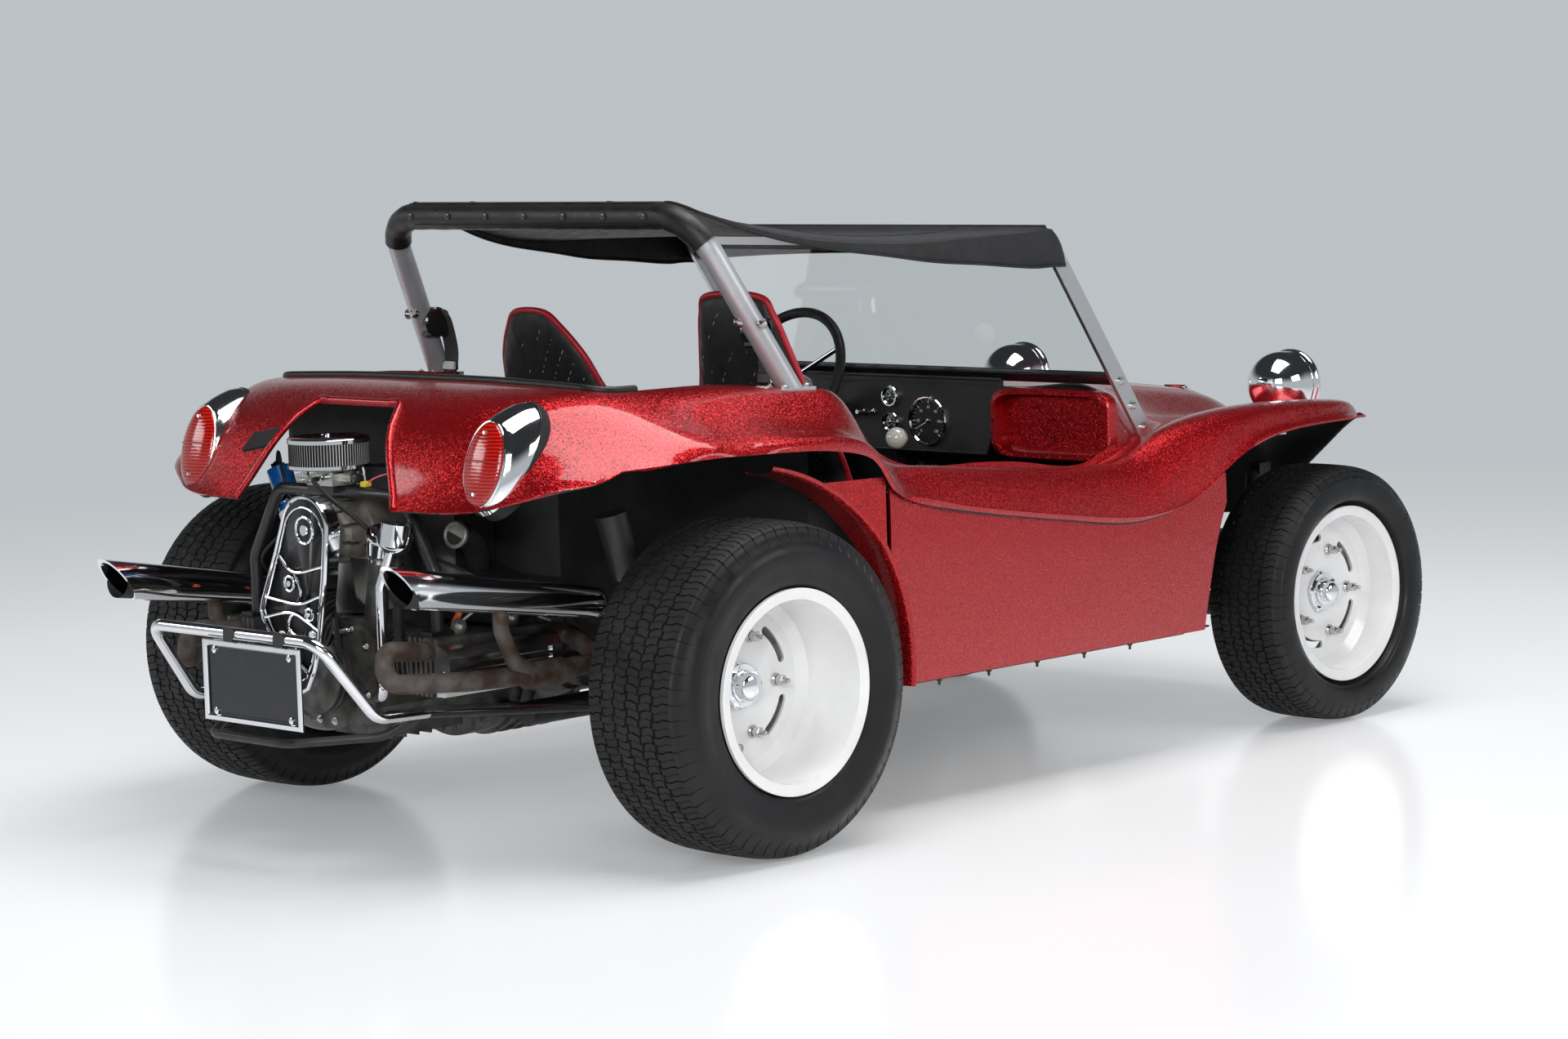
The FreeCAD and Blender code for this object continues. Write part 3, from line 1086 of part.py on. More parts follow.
def roll_bar():
    """Leaning hoop of tube over the seats."""
    foot = (ROLL_BAR_BASE_X, ROLL_BAR_BASE_Y, ROLL_BAR_BASE_Z)
    top = (ROLL_BAR_TOP_X, ROLL_BAR_TOP_Y, ROLL_BAR_TOP_Z)
    hoop = bent_tube([foot, top, (top[0], -top[1], top[2]), (foot[0], -foot[1], foot[2])],
                     ROLL_BAR_RADIUS, 110)
    plate = box(foot[0] - 60, foot[0] + 40, foot[1] - 32, foot[1] + 32, foot[2] - 4, foot[2] + 10)
    return fuse([hoop, plate, mirrored(plate)])


def leg_line():
    """A point half way up the left leg, and the leg's direction."""
    foot = V(ROLL_BAR_BASE_X, ROLL_BAR_BASE_Y, ROLL_BAR_BASE_Z)
    top = V(ROLL_BAR_TOP_X, ROLL_BAR_TOP_Y, ROLL_BAR_TOP_Z)
    middle = foot + (top - foot) * 0.42
    along = (top - foot).normalize()
    return tuple(middle), [round(c, 6) for c in along]


def canopy():
    """Cloth top from a sleeve round the roll bar to the head of the screen."""
    stations = [(88, 1264, 0, 400), (88, 1290, 0, 402), (112, 1309, 0, 405), (160, 1304, 6, 420),
                (400, 1268, 40, 500), (650, 1236, 62, 520), (900, 1218, 60, 545), (1060, 1216, 40, 556),
                (1115, 1216, 20, 560), (1150, 1206, 14, 562), (1172, 1176, 12, 564)]
    rows = []
    for x, z, sag, half in stations:
        row = []
        for share in (1.0, 0.66, 0.33, 0.0, -0.33, -0.66, -1.0):
            row.append(V(x, half * share, z - sag * share * share))
        rows.append(row)
    return skin(rows, CLOTH)


SEAT_Y = 310.0


def seats():
    """Two high-back bucket seats on their runners, each one shell with its cushions."""
    base = prism([(560, -215, 338), (1010, -215, 352), (1010, -215, 440), (960, -215, 470), (600, -215, 430)],
                 (0, 430, 0))
    back = prism([(0, -205, 0), (0, -228, 120), (0, -235, 330), (0, -205, 500), (0, -150, 620), (0, -70, 685),
                  (0, 70, 685), (0, 150, 620), (0, 205, 500), (0, 235, 330), (0, 228, 120), (0, 205, 0)], (80, 0, 0))
    back.rotate(V(0, 0, 0), V(0, 1, 0), -14)
    back.translate(V(548, 0, 408))
    runners = [prism([(580, y, PAN_Z + PAN_SHEET + SEAT_GAP), (980, y, PAN_Z + PAN_SHEET + SEAT_GAP), (980, y, 354),
                      (580, y, 342)], (0, 24, 0)) for y in (-200, 176)]
    seat = fuse([base, back] + runners)
    seat.translate(V(0, SEAT_Y, 0))
    return pair(seat)


def rear_shelf_pad():
    """Padded black cover on the rear deck with its rolled edge."""
    pad = box(-225, 285, -480, 480, 944, 962)
    roll = bent_tube([(300, -470, 955), (-225, -470, 958), (-225, 470, 958), (300, 470, 955)], 10, 60)
    return fuse([pad, roll])


def instrument_panel():
    """Black panel under the cowl with the large dial and a small one."""
    x = COCKPIT_FRONT_X + 2
    panel = box(x, x + 8, -318, 520, 672, 850)
    dials = [ring((x - 10, -106, 754), (x, -106, 754), 58, 50), ring((x - 8, 32, 745), (x, 32, 745), 30, 25)]
    hole = rod((x - 60, COLUMN_Y, column_z(x - 60)), (x + 60, COLUMN_Y, column_z(x + 60)), 28)
    return fuse([panel] + dials).cut(hole)


def cabin_controls():
    """Gear lever with its ball, handbrake and the three pedals."""
    top = TUNNEL_TOP_Z + SEAT_GAP
    x = COCKPIT_FRONT_X - 96
    lever = fuse([rod((x, 0, top), (x, 0, top + 12), 34), rod((x, 0, top), (x - 20, -10, 690), 6),
                  Part.makeSphere(26, V(x - 20, -10, 713))])
    x = COCKPIT_FRONT_X - 246
    brake = fuse([box(x - 30, x + 20, -18, 18, top, top + 26), rod((x, 0, top + 20), (x - 160, 0, top + 110), 10)])
    pedals = []
    for y in (170, 260, 350):
        x = FOOTWELL_X - 40
        pedals.append(fuse([box(x, x + 25, y - 8, y + 8, PAN_Z + PAN_SHEET + SEAT_GAP, 400),
                            box(x - 15, x + 2, y - 28, y + 28, 380, 440)]))
    return Part.makeCompound([lever, brake] + pedals)


def seat_belts():
    """Belt reels clamped on the roll bar's legs with a hanging strap."""
    reel = box(238, 300, 500, 528, 1000, 1060)
    strap = box(300, 303, 480, 528, 930, 1050)
    return pair(fuse([reel, strap]))


def fuel_tank():
    """Plain pressed tank on its tray ahead of the footwell."""
    x = FOOTWELL_X + 80
    z = TANK_TRAY_Z + SEAT_GAP
    tank = box(x, x + TANK_LENGTH, -TANK_HALF, TANK_HALF, z, z + TANK_HEIGHT)
    return tank.makeFillet(24, [e for e in tank.Edges if abs(e.tangentAt(e.FirstParameter).z) > 0.9])


# Wheels

def rim(width, disc_offset, y_centre, hub_x, hub_z):
    """Deep-dish steel rim. disc_offset is the disc's outer face from the centre plane."""
    half = width / 2.0
    t = RIM_SHEET
    disc = disc_offset
    outside = [(-half, RIM_LIP_RADIUS), (-half + 8, RIM_LIP_RADIUS), (-half + 12, BEAD_SEAT_RADIUS),
               (-half + 40, BEAD_SEAT_RADIUS), (-half + 52, DROP_CENTRE_RADIUS),
               (disc - 4, DROP_CENTRE_RADIUS), (disc + 16, BEAD_SEAT_RADIUS),
               (half - 12, BEAD_SEAT_RADIUS), (half - 8, RIM_LIP_RADIUS), (half, RIM_LIP_RADIUS)]
    inside = [(half, RIM_LIP_RADIUS - t), (half - 4, BEAD_SEAT_RADIUS - t), (disc + 14, BEAD_SEAT_RADIUS - t),
              (disc, DROP_CENTRE_RADIUS - t), (disc - 6, DROP_CENTRE_RADIUS - t)]
    web = [(disc - 6, DROP_CENTRE_RADIUS - t - 1), (-half + 50, DROP_CENTRE_RADIUS - t),
           (-half + 38, BEAD_SEAT_RADIUS - t), (-half + 4, BEAD_SEAT_RADIUS - t), (-half, RIM_LIP_RADIUS - t)]
    barrel = spun(outside + inside + web, y_centre, hub_z, hub_x)
    plate = spun([(disc - 6, 40), (disc, 40), (disc, DROP_CENTRE_RADIUS - 2), (disc - 6, DROP_CENTRE_RADIUS - 2)],
                 y_centre, hub_z, hub_x)
    wheel = fuse([barrel, plate])
    y = y_centre + disc
    for i in range(LUG_COUNT):
        wheel = wheel.cut(disc_slot(hub_x, y, hub_z, 36 + 72 * i))
        angle = math.radians(72 * i)
        x = hub_x + BOLT_CIRCLE_RADIUS * math.cos(angle)
        z = hub_z + BOLT_CIRCLE_RADIUS * math.sin(angle)
        wheel = wheel.cut(rod((x, y - 8, z), (x, y + 4, z), 9))
    return kept(wheel, 1)


def disc_slot(hub_x, y, hub_z, degrees):
    """Curved slot through the disc between two wheel bolts."""
    radius = 128.0
    half_width = 9.0
    half_span = 17.0
    outer = Part.makeCylinder(radius + half_width, 20, V(0, 0, -10), V(0, 0, 1), 2 * half_span)
    inner = Part.makeCylinder(radius - half_width, 20, V(0, 0, -10), V(0, 0, 1), 2 * half_span)
    slot = outer.cut(inner)
    for side in (0, 2 * half_span):
        a = math.radians(side)
        slot = slot.fuse(Part.makeCylinder(half_width, 20, V(radius * math.cos(a), radius * math.sin(a), -10)))
    slot.rotate(V(0, 0, 0), V(0, 0, 1), degrees - half_span)
    slot.rotate(V(0, 0, 0), V(1, 0, 0), 90)
    slot.translate(V(hub_x, y - 3, hub_z))
    return slot


TYRE_SIDES = 46              # flats round a tyre, so that all four stay light


def tyre(radius, section, tread, rim_width, y_centre, hub_x, hub_z):
    """Hollow tyre in flat panels, seated on the rim's beads."""
    bead = rim_width / 2.0 - 13.0
    half = section / 2.0
    edge = tread / 2.0
    out_of_round = 1.0 / math.cos(math.pi / TYRE_SIDES)
    seat = (BEAD_SEAT_RADIUS + SEAT_GAP) * out_of_round
    flange = RIM_LIP_RADIUS + 3.0
    widest = (flange + radius) / 2.0 - 8.0
    wall = TYRE_WALL
    shoulder = radius - 14.0
    side = [(bead, seat), (bead, flange), (half, widest), (edge + 8.0, shoulder), (edge - 14.0, radius)]
    cavity = [(edge - 4.0, shoulder - wall), (half - wall, widest), (bead - wall, seat)]
    profile = side + [(-a, r) for a, r in reversed(side)]
    profile += [(-a, r) for a, r in reversed(cavity)] + cavity
    return faceted_ring(profile, TYRE_SIDES, y_centre, hub_x, hub_z)


def faceted_ring(profile, sides, y_centre, hub_x, hub_z):
    """Ring of flat panels through an (axial, radius) outline turned round the axle."""
    loops = []
    for i in range(sides):
        angle = 2 * math.pi * (i + 0.5) / sides - math.pi / 2
        loops.append([V(hub_x + r * math.cos(angle), y_centre + a, hub_z + r * math.sin(angle)) for a, r in profile])
    faces = []
    for loop, following in zip(loops, loops[1:] + loops[:1]):
        for i in range(len(profile)):
            j = (i + 1) % len(profile)
            faces.append(Part.Face(Part.makePolygon([loop[i], loop[j], following[j], following[i], loop[i]])))
    shell = Part.makeShell(faces)
    shell.sewShape()
    solid = Part.makeSolid(shell)
    if solid.Volume < 0:
        solid.reverse()
    return solid


def hub(disc_y, drum_inner_y, hub_x, hub_z):
    """Brake drum, wheel bolts with long nuts, and the plated centre cap."""
    back = disc_y - 6.0 - SEAT_GAP
    drum = spun([(drum_inner_y, DRUM_RADIUS - 12), (drum_inner_y, DRUM_RADIUS), (back, DRUM_RADIUS),
                 (back, SPINDLE_RADIUS + SPINDLE_CLEARANCE), (back - 8, SPINDLE_RADIUS + SPINDLE_CLEARANCE),
                 (back - 8, DRUM_RADIUS - 12)], 0, hub_z, hub_x)
    centre = ring((hub_x, back - 30, hub_z), (hub_x, disc_y + 12, hub_z), 36, SPINDLE_RADIUS + SPINDLE_CLEARANCE)
    cap = fuse([rod((hub_x, disc_y + 12, hub_z), (hub_x, disc_y + 18, hub_z), 36),
                rod((hub_x, disc_y + 18, hub_z), (hub_x, disc_y + 45, hub_z), 24)])
    parts = [drum, centre, cap]
    for i in range(LUG_COUNT):
        angle = math.radians(72 * i)
        x = hub_x + BOLT_CIRCLE_RADIUS * math.cos(angle)
        z = hub_z + BOLT_CIRCLE_RADIUS * math.sin(angle)
        parts.append(rod((x, back - 4, z), (x, disc_y + 2, z), 7))
        parts.append(rod((x, disc_y + SEAT_GAP, z), (x, disc_y + 42, z), 11))
    return fuse(parts)


def wheel_nodes():
    """All twelve wheel pieces: rim, tyre and hub at each corner."""
    nodes = {}
    rear = REAR_DISC_Y - REAR_WHEEL_Y
    front = FRONT_DISC_Y - FRONT_WHEEL_Y
    left = {
        "rim_rear": rim(REAR_RIM_WIDTH, rear, REAR_WHEEL_Y, 0.0, REAR_TYRE_RADIUS),
        "tyre_rear": tyre(REAR_TYRE_RADIUS, REAR_TYRE_SECTION, REAR_TREAD, REAR_RIM_WIDTH,
                          REAR_WHEEL_Y, 0.0, REAR_TYRE_RADIUS),
        "hub_rear": hub(REAR_DISC_Y, 600.0, 0.0, REAR_TYRE_RADIUS),
        "rim_front": rim(FRONT_RIM_WIDTH, front, FRONT_WHEEL_Y, WHEELBASE, FRONT_TYRE_RADIUS),
        "tyre_front": tyre(FRONT_TYRE_RADIUS, FRONT_TYRE_SECTION, FRONT_TREAD, FRONT_RIM_WIDTH,
                           FRONT_WHEEL_Y, WHEELBASE, FRONT_TYRE_RADIUS),
        "hub_front": hub(FRONT_DISC_Y, 545.0, WHEELBASE, FRONT_TYRE_RADIUS),
    }
    for name, shape in left.items():
        nodes[name + "_left"] = shape
        nodes[name + "_right"] = mirrored(shape)
    return nodes


def build():
    sheet = body_sheet()
    shell = body_shell(sheet)
    nodes = {"body_shell": shell, "hood": hood(sheet)}
    panel = side_panel()
    nodes["side_panel_left"] = panel
    nodes["side_panel_right"] = mirrored(panel)
    nodes["tub"] = tub().cut(shell)
    nodes["floor_pan"] = floor_pan()
    gearbox = transaxle()
    nodes["rear_frame"] = kept(rear_frame().cut(gearbox), 1)
    nodes["rear_suspension"] = kept(rear_suspension().cut(gearbox), 4)
    nodes["transaxle"] = gearbox
    case = engine_case()
    nodes["engine_case"] = case
    nodes["cylinder_banks"] = cylinder_banks()
    nodes["valve_covers"] = valve_covers()
    nodes["fan_shroud"] = fan_shroud()
    nodes["alternator"] = alternator()
    nodes["belt_guard"] = belt_guard()
    nodes["hood_hinges"] = hood_hinges(shell)
    nodes["carburettor"] = carburettor()
    nodes["intake_manifold"] = intake_manifold()
    nodes["air_cleaner"] = air_cleaner()
    fittings = engine_fittings().cut(case)
    nodes["engine_fittings"] = kept(fittings, 4)
    tail_pipes = mufflers()
    nodes["mufflers"] = tail_pipes
    nodes["exhaust_header"] = kept(exhaust_header().cut(tail_pipes), 2)
    nodes["guard_bar"] = guard_bar()
    nodes["licence_plate"] = licence_plate()
    beam = front_beam()
    nodes["front_beam"] = beam
    nodes["front_arms"] = kept(front_arms().cut(beam), 2)
    left_knuckle = knuckle()
    nodes["knuckle_left"] = left_knuckle
    nodes["knuckle_right"] = mirrored(left_knuckle)
    nodes["tie_rod_left"] = tie_rod(LEFT_ROD_Y, KINGPIN_Y + ROD_SPREAD)
    nodes["tie_rod_right"] = tie_rod(RIGHT_ROD_Y, -KINGPIN_Y - ROD_SPREAD)
    nodes["pitman_arm"] = pitman_arm()
    nodes["steering_column"] = steering_column()
    nodes["steering_wheel"] = steering_wheel()
    nodes["front_bumper"] = front_bumper()
    nodes["headlamps"] = kept(pair(headlamp()).cut(shell), 2)
    lamp = rearmost(tail_lamp().cut(shell))
    nodes["tail_lamps"] = pair(lamp)
    screen = kept(windshield_frame().cut(shell), 1)
    nodes["windshield_frame"] = screen
    nodes["windshield_glass"] = windshield_glass().cut(shell)
    hoop = roll_bar().cut(shell)
    nodes["roll_bar"] = hoop
    nodes["canopy"] = kept(canopy().cut(hoop).cut(screen), 1)
    nodes["seats"] = seats()
    nodes["rear_shelf_pad"] = kept(rear_shelf_pad().cut(shell), 1)
    nodes["instrument_panel"] = kept(instrument_panel().cut(shell), 1)
    nodes["cabin_controls"] = cabin_controls()
    nodes["seat_belts"] = seat_belts().cut(hoop)
    nodes["fuel_tank"] = fuel_tank()
    nodes.update(wheel_nodes())
    for name, shape in nodes.items():
        shape = shape.copy()
        shape.translate(V(ORIGIN_SHIFT, 0, 0))
        solids = shape.Solids
        print(name, len(solids), "solids", round(shape.Volume / 1000.0), "cm3", shape.isValid())
        shape.exportStep("parts/" + name + ".step")


build()
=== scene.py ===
"""Looks of an open two-seat dune buggy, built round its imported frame.

Sizes in the functions are millimetres from the rear axle and the ground, with
+X forward, +Y to the car's left and +Z up; at() turns them into scene metres.
"""
import math

import bmesh
import bpy
import numpy as np
from mathutils import Matrix, Vector
from mathutils.bvhtree import BVHTree


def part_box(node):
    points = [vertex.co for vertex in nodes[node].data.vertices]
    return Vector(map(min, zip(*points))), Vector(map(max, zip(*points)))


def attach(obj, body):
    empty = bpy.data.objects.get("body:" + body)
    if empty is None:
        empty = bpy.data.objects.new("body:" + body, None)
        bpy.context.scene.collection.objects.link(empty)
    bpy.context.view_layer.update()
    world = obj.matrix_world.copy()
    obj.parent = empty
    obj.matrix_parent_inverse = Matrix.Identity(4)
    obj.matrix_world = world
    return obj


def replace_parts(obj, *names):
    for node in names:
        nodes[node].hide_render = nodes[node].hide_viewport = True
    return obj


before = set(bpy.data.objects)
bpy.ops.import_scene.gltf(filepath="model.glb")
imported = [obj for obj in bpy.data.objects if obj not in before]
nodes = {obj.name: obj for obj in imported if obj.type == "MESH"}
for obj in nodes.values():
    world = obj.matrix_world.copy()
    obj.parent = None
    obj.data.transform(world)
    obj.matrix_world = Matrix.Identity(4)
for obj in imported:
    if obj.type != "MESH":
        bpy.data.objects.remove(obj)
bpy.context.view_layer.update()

MM = 0.001
IMAGE_WIDTH = 1920.0
FORWARD = Vector((1, 0, 0))
LEFT = Vector((0, 1, 0))
UP = Vector((0, 0, 1))


# Places read from the frame

def middle(node):
    low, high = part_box(node)
    return (low + high) / 2


REAR_AXLE = middle("tyre_rear_left")
FRONT_AXLE = middle("tyre_front_left")


def at(x, y, z):
    """A place given in millimetres from the rear axle, in scene metres."""
    return Vector((REAR_AXLE.x + x * MM, y * MM, z * MM))


def from_axle(point):
    """A scene point as millimetres from the rear axle."""
    return Vector(((point[0] - REAR_AXLE.x) / MM, point[1] / MM, point[2] / MM))


WHEELBASE = (FRONT_AXLE.x - REAR_AXLE.x) / MM
COCKPIT_FRONT = WHEELBASE - 696.0


# Finishes

def shader(name, colour, rough, metal=0.0):
    """A new finish with its own colour, gloss and metal, open to added detail."""
    made = bpy.data.materials.new(name)
    made.use_nodes = True
    tuned(made, Base_Color=(*colour, 1.0), Roughness=rough, Metallic=metal)
    return made


def surface_of(made):
    return made.node_tree.nodes["Principled BSDF"]


def node(made, kind, **values):
    new = made.node_tree.nodes.new(kind)
    for key, value in values.items():
        if hasattr(new, key):
            setattr(new, key, value)
        else:
            new.inputs[key.replace("_", " ")].default_value = value
    return new


def join(made, source, target):
    made.node_tree.links.new(source, target)


def tuned(made, **values):
    """Set sockets of a finish's own shader, written with underscores for spaces."""
    for key, value in values.items():
        surface_of(made).inputs[key.replace("_", " ")].default_value = value


def place(made, stretch=(1.0, 1.0, 1.0), turn=(0.0, 0.0, 0.0)):
    """The object's own coordinates, stretched and turned for a pattern."""
    where = node(made, "ShaderNodeTexCoord")
    mapping = node(made, "ShaderNodeMapping", Scale=stretch, Rotation=turn)
    join(made, where.outputs["Object"], mapping.inputs["Vector"])
    return mapping.outputs["Vector"]


def noise(made, scale, detail=3.0, vector=None):
    texture = node(made, "ShaderNodeTexNoise", Scale=scale, Detail=detail)
    join(made, vector or place(made), texture.inputs["Vector"])
    return texture.outputs["Fac"]


def cells(made, scale):
    texture = node(made, "ShaderNodeTexVoronoi", Scale=scale)
    join(made, place(made), texture.inputs["Vector"])
    return texture


def wave(made, scale, direction, distortion=0.0):
    texture = node(made, "ShaderNodeTexWave", bands_direction=direction, Scale=scale, Distortion=distortion)
    join(made, place(made), texture.inputs["Vector"])
    return texture.outputs["Fac"]


def spread(made, value, low, high, start=0.3, end=0.7, curve="LINEAR"):
    """A value between start and end spread from low to high."""
    ramp = node(made, "ShaderNodeMapRange", interpolation_type=curve,
                From_Min=start, From_Max=end, To_Min=low, To_Max=high)
    join(made, value, ramp.inputs["Value"])
    return ramp.outputs["Result"]


def mottled(made, value, first, second, start=0.35, end=0.65):
    """The finish's colour wanders between two colours with a pattern's value."""
    mix = node(made, "ShaderNodeMix", data_type="RGBA", A=(*first, 1.0), B=(*second, 1.0))
    join(made, spread(made, value, 0.0, 1.0, start, end), mix.inputs["Factor"])
    join(made, mix.outputs["Result"], surface_of(made).inputs["Base Color"])


def uneven_gloss(made, value, low, high):
    join(made, spread(made, value, low, high), surface_of(made).inputs["Roughness"])


def relief(made, value, depth, strength):
    """Fine height on the finish, depth in millimetres."""
    bump = node(made, "ShaderNodeBump", Distance=depth * MM, Strength=strength)
    join(made, value, bump.inputs["Height"])
    join(made, bump.outputs["Normal"], surface_of(made).inputs["Normal"])


def coated(made, weight, rough):
    tuned(made, Coat_Weight=weight, Coat_Roughness=rough)


def paler(colour, times):
    return tuple(part * times for part in colour)


FLAKES_PER_METRE = 620.0
FLAKE_TILT = 0.55


def flake_paint():
    """Candy red with coarse metal flake, each flake tilted its own way, under a clear coat."""
    made = shader("candy_red_flake", (0.38, 0.002, 0.006), 0.27, 0.72)
    coated(made, 0.62, 0.09)
    flakes = cells(made, FLAKES_PER_METRE).outputs["Color"]
    centred = node(made, "ShaderNodeVectorMath", operation="SUBTRACT")
    centred.inputs[1].default_value = (0.5, 0.5, 0.5)
    tilt = node(made, "ShaderNodeVectorMath", operation="SCALE", Scale=FLAKE_TILT)
    facing = node(made, "ShaderNodeNewGeometry")
    total = node(made, "ShaderNodeVectorMath", operation="ADD")
    unit = node(made, "ShaderNodeVectorMath", operation="NORMALIZE")
    shade = node(made, "ShaderNodeSeparateColor")
    join(made, flakes, centred.inputs[0])
    join(made, centred.outputs["Vector"], tilt.inputs[0])
    join(made, facing.outputs["Normal"], total.inputs[0])
    join(made, tilt.outputs["Vector"], total.inputs[1])
    join(made, total.outputs["Vector"], unit.inputs[0])
    join(made, unit.outputs["Vector"], surface_of(made).inputs["Normal"])
    join(made, flakes, shade.inputs["Color"])
    mottled(made, shade.outputs["Red"], (0.31, 0.001, 0.004), (0.54, 0.004, 0.010), 0.25, 0.98)
    return made


def rough_black():
    """Brushed-on black over matting, as on the inside of the moulding."""
    made = shader("moulding_inside", (0.016, 0.016, 0.017), 0.62)
    relief(made, noise(made, 55.0, 6.0), 1.4, 0.7)
    uneven_gloss(made, noise(made, 9.0), 0.50, 0.72)
    return made


def satin_black(name, rough, colour=(0.014, 0.014, 0.015)):
    made = shader(name, colour, rough)
    uneven_gloss(made, noise(made, 24.0), rough - 0.08, rough + 0.1)
    relief(made, noise(made, 900.0, 2.0), 0.12, 0.35)
    return made


def gloss_black():
    made = shader("gloss_black", (0.010, 0.010, 0.011), 0.16)
    coated(made, 0.7, 0.05)
    uneven_gloss(made, noise(made, 14.0), 0.12, 0.26)
    return made


def plated(name, tint, rough):
    """Bright plating with faint polishing haze."""
    made = shader(name, tint, rough, 1.0)
    uneven_gloss(made, noise(made, 18.0, 4.0), max(rough - 0.03, 0.02), rough + 0.06)
    return made


def cast_metal(name, first, second, rough=0.46):
    """Sand-cast alloy with stains scattered over it."""
    made = shader(name, first, rough, 0.75)
    mottled(made, noise(made, 21.0, 5.0), first, second)
    relief(made, noise(made, 420.0, 3.0), 0.35, 0.6)
    uneven_gloss(made, noise(made, 33.0), rough - 0.1, rough + 0.14)
    return made


def brushed_metal():
    """Flat alloy bar with its drawn grain along the length."""
    made = shader("screen_alloy", (0.52, 0.53, 0.55), 0.3, 0.92)
    grain = noise(made, 60.0, 3.0, place(made, (1.0, 14.0, 1.0), (0.0, -0.6, 0.0)))
    relief(made, grain, 0.02, 0.2)
    uneven_gloss(made, grain, 0.30, 0.40)
    return made


def silver_paint():
    made = shader("hoop_silver", (0.42, 0.43, 0.45), 0.42, 0.5)
    coated(made, 0.35, 0.15)
    mottled(made, noise(made, 11.0), (0.38, 0.39, 0.41), (0.47, 0.48, 0.50))
    relief(made, noise(made, 1600.0, 1.0), 0.05, 0.3)
    return made


def white_enamel():
    """Sprayed white enamel with the faint orange peel of wheel paint."""
    made = shader("wheel_white", (0.88, 0.88, 0.88), 0.24)
    coated(made, 0.6, 0.08)
    relief(made, noise(made, 240.0, 2.0), 0.12, 0.25)
    mottled(made, noise(made, 7.0, 4.0), (0.90, 0.90, 0.90), (0.82, 0.82, 0.82))
    return made


def rubber(name, colour, rough, grain):
    made = shader(name, colour, rough)
    tuned(made, Specular_IOR_Level=0.3)
    mottled(made, noise(made, 12.0, 5.0), colour, paler(colour, 1.45))
    relief(made, noise(made, grain, 4.0), 0.25, 0.5)
    uneven_gloss(made, noise(made, 26.0), rough - 0.09, rough + 0.12)
    return made


def rusted():
    """Bare header pipe: brown scale over grey, with patches of ash."""
    made = shader("header_rust", (0.06, 0.036, 0.026), 0.66, 0.4)
    mottled(made, noise(made, 26.0, 7.0), (0.052, 0.029, 0.020), (0.095, 0.085, 0.078), 0.4, 0.62)
    relief(made, noise(made, 170.0, 5.0), 0.6, 0.8)
    return made


def lamp_red():
    """Ribbed red lens: clear tinted plastic, its colour banded lighter and darker along the ribs as painted
    glints and shade.
    """
    made = shader("tail_lens_red", (0.45, 0.006, 0.004), 0.16)
    coated(made, 0.5, 0.03)
    tuned(made, Transmission_Weight=0.25, Subsurface_Weight=0.2)
    ribs = wave(made, 46.0, "Z")
    # The ribs' relief is real; their lighter and darker colour bands are painted glints and shade.
    mottled(made, ribs, (0.28, 0.002, 0.002), (0.66, 0.016, 0.006), 0.2, 0.8)
    relief(made, ribs, 0.5, 0.35)
    return made


def clear_glass(name, tint=(0.97, 0.99, 0.985)):
    made = shader(name, tint, 0.0)
    tuned(made, Transmission_Weight=1.0, IOR=1.45)
    uneven_gloss(made, noise(made, 6.0, 4.0), 0.0, 0.012)
    return made


def vinyl(name, colour, rough, grain, depth):
    """Coated cloth with a leather-like grain and dull creases."""
    made = shader(name, colour, rough)
    tuned(made, Sheen_Weight=0.03, Specular_IOR_Level=0.36)
    pebble = cells(made, grain)
    pebble.feature = "DISTANCE_TO_EDGE"
    folds = noise(made, 14.0, 5.0)
    height = node(made, "ShaderNodeMath", operation="ADD")
    join(made, spread(made, pebble.outputs["Distance"], 0.0, 0.35, 0.0, 0.25), height.inputs[0])
    join(made, folds, height.inputs[1])
    relief(made, height.outputs["Value"], depth, 0.7)
    mottled(made, folds, colour, paler(colour, 1.6))
    uneven_gloss(made, noise(made, 40.0), rough - 0.08, rough + 0.12)
    return made


def woven(name, colour):
    """Belt webbing and thread: a fine diagonal weave."""
    made = shader(name, colour, 0.7)
    tuned(made, Sheen_Weight=0.3)
    weave = wave(made, 90.0, "DIAGONAL", 0.4)
    relief(made, weave, 0.5, 0.6)
    mottled(made, weave, colour, paler(colour, 1.7), 0.2, 0.8)
    return made


def coloured(name, colour, rough, metal=0.0, coat=0.0):
    """Small moulded or painted part with slightly uneven gloss."""
    made = shader(name, colour, rough, metal)
    coated(made, coat, 0.06)
    uneven_gloss(made, noise(made, 45.0, 4.0), max(rough - 0.08, 0.03), rough + 0.1)
    relief(made, noise(made, 700.0, 2.0), 0.08, 0.3)
    return made


RED = flake_paint()
INNER_BLACK = rough_black()
TIN_BLACK = satin_black("engine_tin", 0.34)
FRAME_BLACK = satin_black("chassis_black", 0.46, (0.012, 0.012, 0.013))
DASH_BLACK = satin_black("dash_black", 0.5, (0.017, 0.017, 0.018))
GLOSS_BLACK = gloss_black()
CHROME = plated("chrome", (0.78, 0.79, 0.81), 0.06)
STEEL = plated("bright_steel", (0.55, 0.54, 0.52), 0.2)
DARK_STEEL = cast_metal("dark_steel", (0.10, 0.095, 0.09), (0.05, 0.045, 0.04), 0.5)
CAST = cast_metal("cast_alloy", (0.44, 0.42, 0.39), (0.24, 0.215, 0.19))
ZINC = cast_metal("zinc_casting", (0.60, 0.59, 0.56), (0.42, 0.40, 0.36), 0.36)
CASE = cast_metal("crankcase_alloy", (0.15, 0.145, 0.14), (0.06, 0.057, 0.052), 0.55)
POLISHED = plated("polished_alloy", (0.66, 0.67, 0.68), 0.16)
BRUSHED = brushed_metal()
SILVER = silver_paint()
WHITE = white_enamel()
